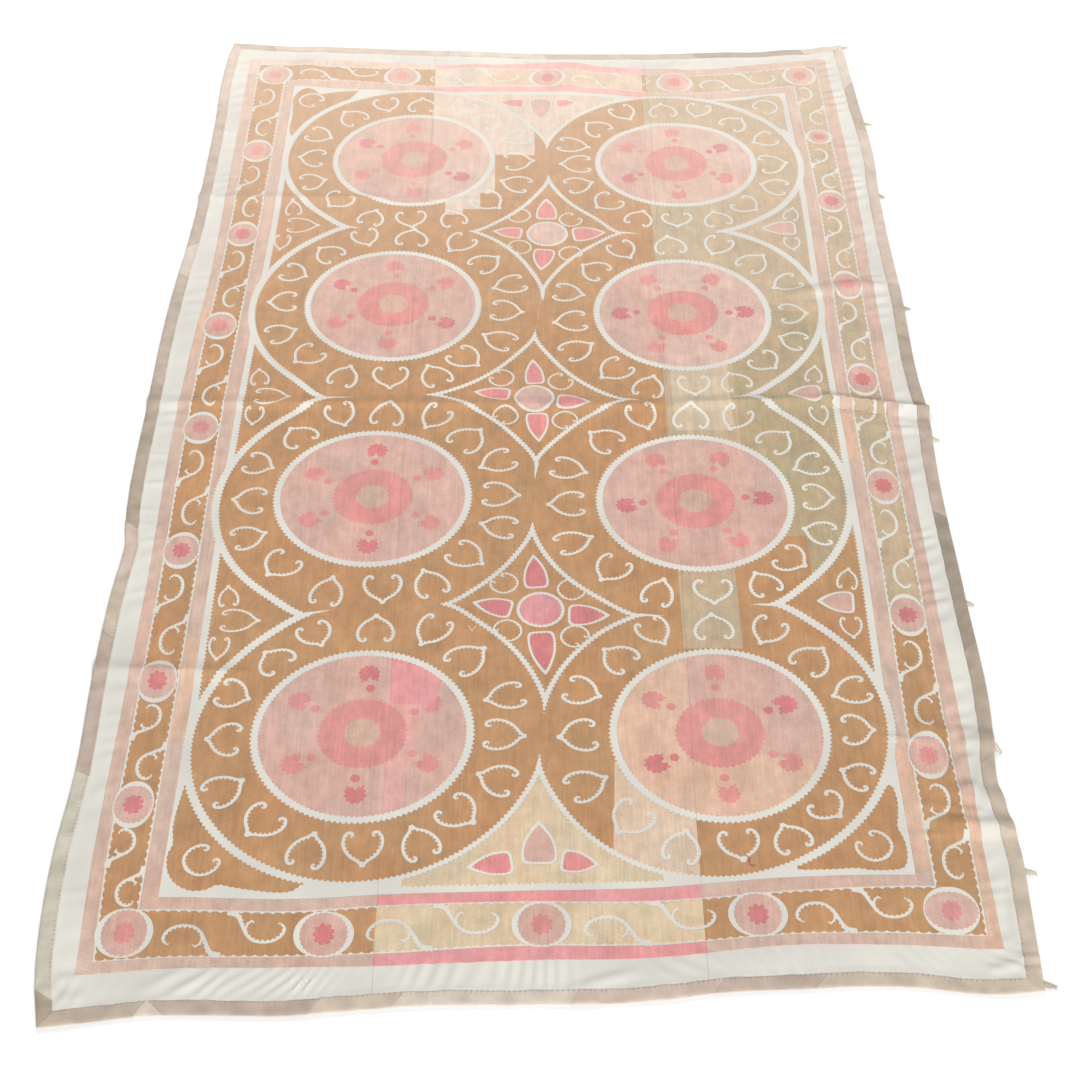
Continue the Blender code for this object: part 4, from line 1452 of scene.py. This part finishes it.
# Stubs of ties as in the solids: (y, heading in degrees, length, width) and a tone.
TIES = (
    (1436, 22, 15, 11, "grey"), (1079, -8, 15, 11, "medium"), (769, -14, 11, 15, "grey"),
    (341, -6, 12, 14, "grey_pink"), (-92, -12, 12, 17, "greenish"), (-553, -16, 12, 15, "greenish"),
    (-901, -30, 13, 14, "greenish"), (-1163, -8, 18, 13, "greenish"), (-1377, -13, 20, 12, "cream"),
)
TIE_THICKNESS = 2.6
TIE_SIDES = 14
TIE_STATIONS = 12
FRAY_THREADS = 9
FRAY_POINTS = 5
FRAY_RADIUS = 0.28


def ties(material):
    """Each stub: a crumpled flat tube, narrower towards its torn end, and loose threads."""
    turn = 2 * math.pi * np.arange(TIE_SIDES) / TIE_SIDES
    share = np.linspace(0, 1, TIE_STATIONS)[:, None]
    for number, (place, heading, length, width, tone) in enumerate(TIES):
        v = (place - RIGHT_EDGE[0][0]) / (RIGHT_EDGE[-1][0] - RIGHT_EDGE[0][0])
        root = complex(plan(1.0, v)) + GAP
        toward = np.exp(1j * math.radians(heading))
        base = float(level(np.array([root.real]), np.array([root.imag]))[0])
        size = (1 - 0.5 * share ** 1.4) * (1 + 0.07 * np.sin(9 * share + 3 * turn + number))
        across = np.cos(turn) * width / 2 * size
        flat = root + length * share * toward + across * (1j * toward ** 0.6)
        bottom = base * (1 - share) + 0.05
        height = bottom + TIE_THICKNESS * (0.5 + 0.5 * np.sin(turn) * size)
        height = height + 0.25 * np.sin(5 * turn + 4 * share)
        points = np.stack([flat.real, flat.imag, np.maximum(height, 0.02)], -1).reshape(-1, 3)
        faces = tube_faces(TIE_STATIONS, TIE_SIDES)
        for path, rise in frayed(root + length * 0.9 * toward, toward, width, number):
            thread_points, thread_faces = thin_tube(path, rise, FRAY_RADIUS)
            faces += [[i + len(points) for i in face] for face in thread_faces]
            points = np.concatenate([points, thread_points])
        plain_piece(f"tie_stub_{number + 1}", points, faces, material, TONES[tone],
                    f"tie_{number + 1}")


def frayed(tip, toward, width, number):
    """Paths and heights of the threads that spread from a stub's torn end."""
    run = np.linspace(0, 1, FRAY_POINTS)
    half = (FRAY_THREADS - 1) / 2
    for k in range(FRAY_THREADS):
        spread = (k - half) / half
        start = tip + 1j * toward * spread * width * 0.2
        bend = toward * np.exp(1j * (0.5 * spread + 0.3 * math.sin(5 * k + number)))
        reach = 2.5 + 2.0 * (0.5 + 0.5 * math.sin(7 * k + number))
        yield start + bend * reach * run ** 1.1, 1.3 * (1 - run) + 0.35


def thin_tube(path, rise, radius):
    """Tube along a path on the cloth at the given heights, closed at both ends."""
    turn = 2 * math.pi * np.arange(TUBE_SIDES) / TUBE_SIDES
    flat = path[:, None] + leftward(path)[:, None] * np.cos(turn) * radius
    height = rise[:, None] + np.sin(turn) * radius
    points = np.stack([flat.real, flat.imag, height], -1).reshape(-1, 3)
    return points, tube_faces(len(path), TUBE_SIDES)


def stitches(side, material):
    """Slip stitches along the inner line of one edge's binding, a short thread each."""
    table, _, _, share_at = EDGES[side]
    run = table[-1][0] - table[0][0]
    count = int((run - 2 * BAND) / STITCH_PITCH)
    places = (BAND + STITCH_PITCH * np.arange(count)) / run
    places = places + 0.9 / run * np.sin(2.4 * np.arange(count))
    along = np.linspace(0, 1, STITCH_POINTS)
    points, faces = [], []
    for share in places:
        ends = plan(*share_at(np.array([STITCH_LINE, STITCH_LINE + STITCH_INWARDS]),
                              np.array([share, share + STITCH_ALONG / run])))
        path = ends[0] + (ends[1] - ends[0]) * along
        arch = STITCH_ARCH * np.sin(math.pi * along)
        rise = level(path.real, path.imag) + STITCH_HEIGHT + arch
        made, polygons = thin_tube(path, rise, STITCH_RADIUS)
        first = len(points) * len(made)
        faces += [[i + first for i in polygon] for polygon in polygons]
        points.append(made)
    plain_piece(f"binding_stitches_{side}", np.concatenate(points), faces, material, "#B9AA98")


# Threads that came loose from the silk: knots of each as (x, y), and its colour.
LOOSE_THREADS = (
    (((336, -1130), (340, -1136), (339, -1144), (342, -1150), (348, -1149)), "#B8474F"),
    (((-141, -610), (-136, -619), (-133, -624), (-130, -617), (-126, -611)), "#E6DCCB"),
)
LOOSE_RADIUS = 0.75


def loose_threads(material):
    """Short threads that lie on the silk."""
    for number, (knots, colour) in enumerate(LOOSE_THREADS):
        path = smooth_line([complex(x, y) for x, y in knots], 4)
        rise = level(path.real, path.imag) + PANEL + SILK_HEIGHT + 0.4
        points, faces = thin_tube(path, rise, LOOSE_RADIUS)
        plain_piece(f"loose_thread_{number + 1}", points, faces, material, colour)


# Camera, floor and light.
CAMERA_PLACE = (-0.0383, -2.9928, 2.6282)
CAMERA_RIGHT = Vector((1.0, -0.0063, 0.0063))
CAMERA_FORWARD = Vector((0.0089, 0.7047, -0.7095))
FOCAL_PIXELS = 1900
FRAME_PIXELS = 1080
SENSOR = 36.0

# Floor: half of its side and its height, just under the cloth.
FLOOR_HALF = 9.0
FLOOR_HEIGHT = -0.0004

# A high window behind the camera, and two softboxes: place, target, size and watts.
WINDOW_STRENGTH = 2.8
WINDOW_ANGLE = math.radians(16)
WINDOW_DIRECTION = Vector((-0.32, 0.80, -0.47))
SOFTBOXES = {
    "far_softbox": ((-0.8, 4.5, 3.5), (0.0, 0.5, 0.0), 2.6, 135),
    "near_softbox": ((1.5, -4.0, 4.5), (0.0, -0.6, 0.0), 3.5, 60),
}
ROOM_STRENGTH = 0.36


def camera():
    """Camera at the photograph's place and angle."""
    data = bpy.data.cameras.new("view")
    data.sensor_width = SENSOR
    data.sensor_fit = "HORIZONTAL"
    data.lens = FOCAL_PIXELS / FRAME_PIXELS * SENSOR
    data.clip_end = 60
    held = bpy.data.objects.new("view", data)
    forward = CAMERA_FORWARD.normalized()
    right = (CAMERA_RIGHT - forward * CAMERA_RIGHT.dot(forward)).normalized()
    up = right.cross(forward)
    turn = Matrix((right, up, -forward)).transposed().to_4x4()
    held.matrix_world = Matrix.Translation(CAMERA_PLACE) @ turn
    bpy.context.collection.objects.link(held)
    bpy.context.scene.camera = held


def aimed(lamp, direction):
    """Turns a lamp to a direction and adds it to the scene."""
    lamp.rotation_euler = direction.to_track_quat("-Z", "Y").to_euler()
    bpy.context.collection.objects.link(lamp)


def studio():
    """Plain pale floor and soft light from a high window and two softboxes."""
    corners = [(-1, -1), (1, -1), (1, 1), (-1, 1)]
    mesh = bpy.data.meshes.new("floor")
    mesh.from_pydata([(FLOOR_HALF * x, FLOOR_HALF * y, FLOOR_HEIGHT) for x, y in corners], [],
                     [(0, 1, 2, 3)])
    material, shader, _, _ = new_material("floor_paint_matt", 0.9, 0.1)
    shader.inputs["Base Color"].default_value = (0.96, 0.96, 0.96, 1)
    mesh.materials.append(material)
    floor = bpy.data.objects.new("floor", mesh)
    bpy.context.collection.objects.link(floor)
    window = bpy.data.lights.new("high_window", "SUN")
    window.energy = WINDOW_STRENGTH
    window.angle = WINDOW_ANGLE
    aimed(bpy.data.objects.new("high_window", window), WINDOW_DIRECTION)
    for name, (place, target, size, power) in SOFTBOXES.items():
        data = bpy.data.lights.new(name, "AREA")
        data.shape = "DISK"
        data.size = size
        data.energy = power
        lamp = bpy.data.objects.new(name, data)
        lamp.location = place
        aimed(lamp, Vector(target) - Vector(place))
    world = bpy.data.worlds.new("soft_room")
    world.use_nodes = True
    background = world.node_tree.nodes["Background"]
    background.inputs["Color"].default_value = (1.0, 1.0, 1.0, 1)
    background.inputs["Strength"].default_value = ROOM_STRENGTH
    bpy.context.scene.world = world
    bpy.context.scene.view_settings.view_transform = "Standard"


def main():
    camera()
    studio()
    embroidery()
    patches = [np.array([complex(x, y) for x, y in corners]) for _, _, corners in PATCHES]
    shapes = [split_sides(shape) for _, shape in work] + [split_sides(patch) for patch in patches]
    cotton, silk = hand_woven_cotton(), laid_silk()
    for name, west, east in (("left", None, 1), ("centre", 1, 2), ("right", 2, None)):
        piece, flat = panel(f"cloth_panel_{name}", f"panel_{name}", west, east, shapes, [cotton, silk])
    binding_cloth = washed_cotton("cotton_washed_binding")
    for side in EDGES:
        binding_edge(side, binding_cloth)
    for side in EDGES:
        stitches(side, binding_cloth)
    loose_threads(silk)
    ties(washed_cotton("cotton_tape_torn"))


main()
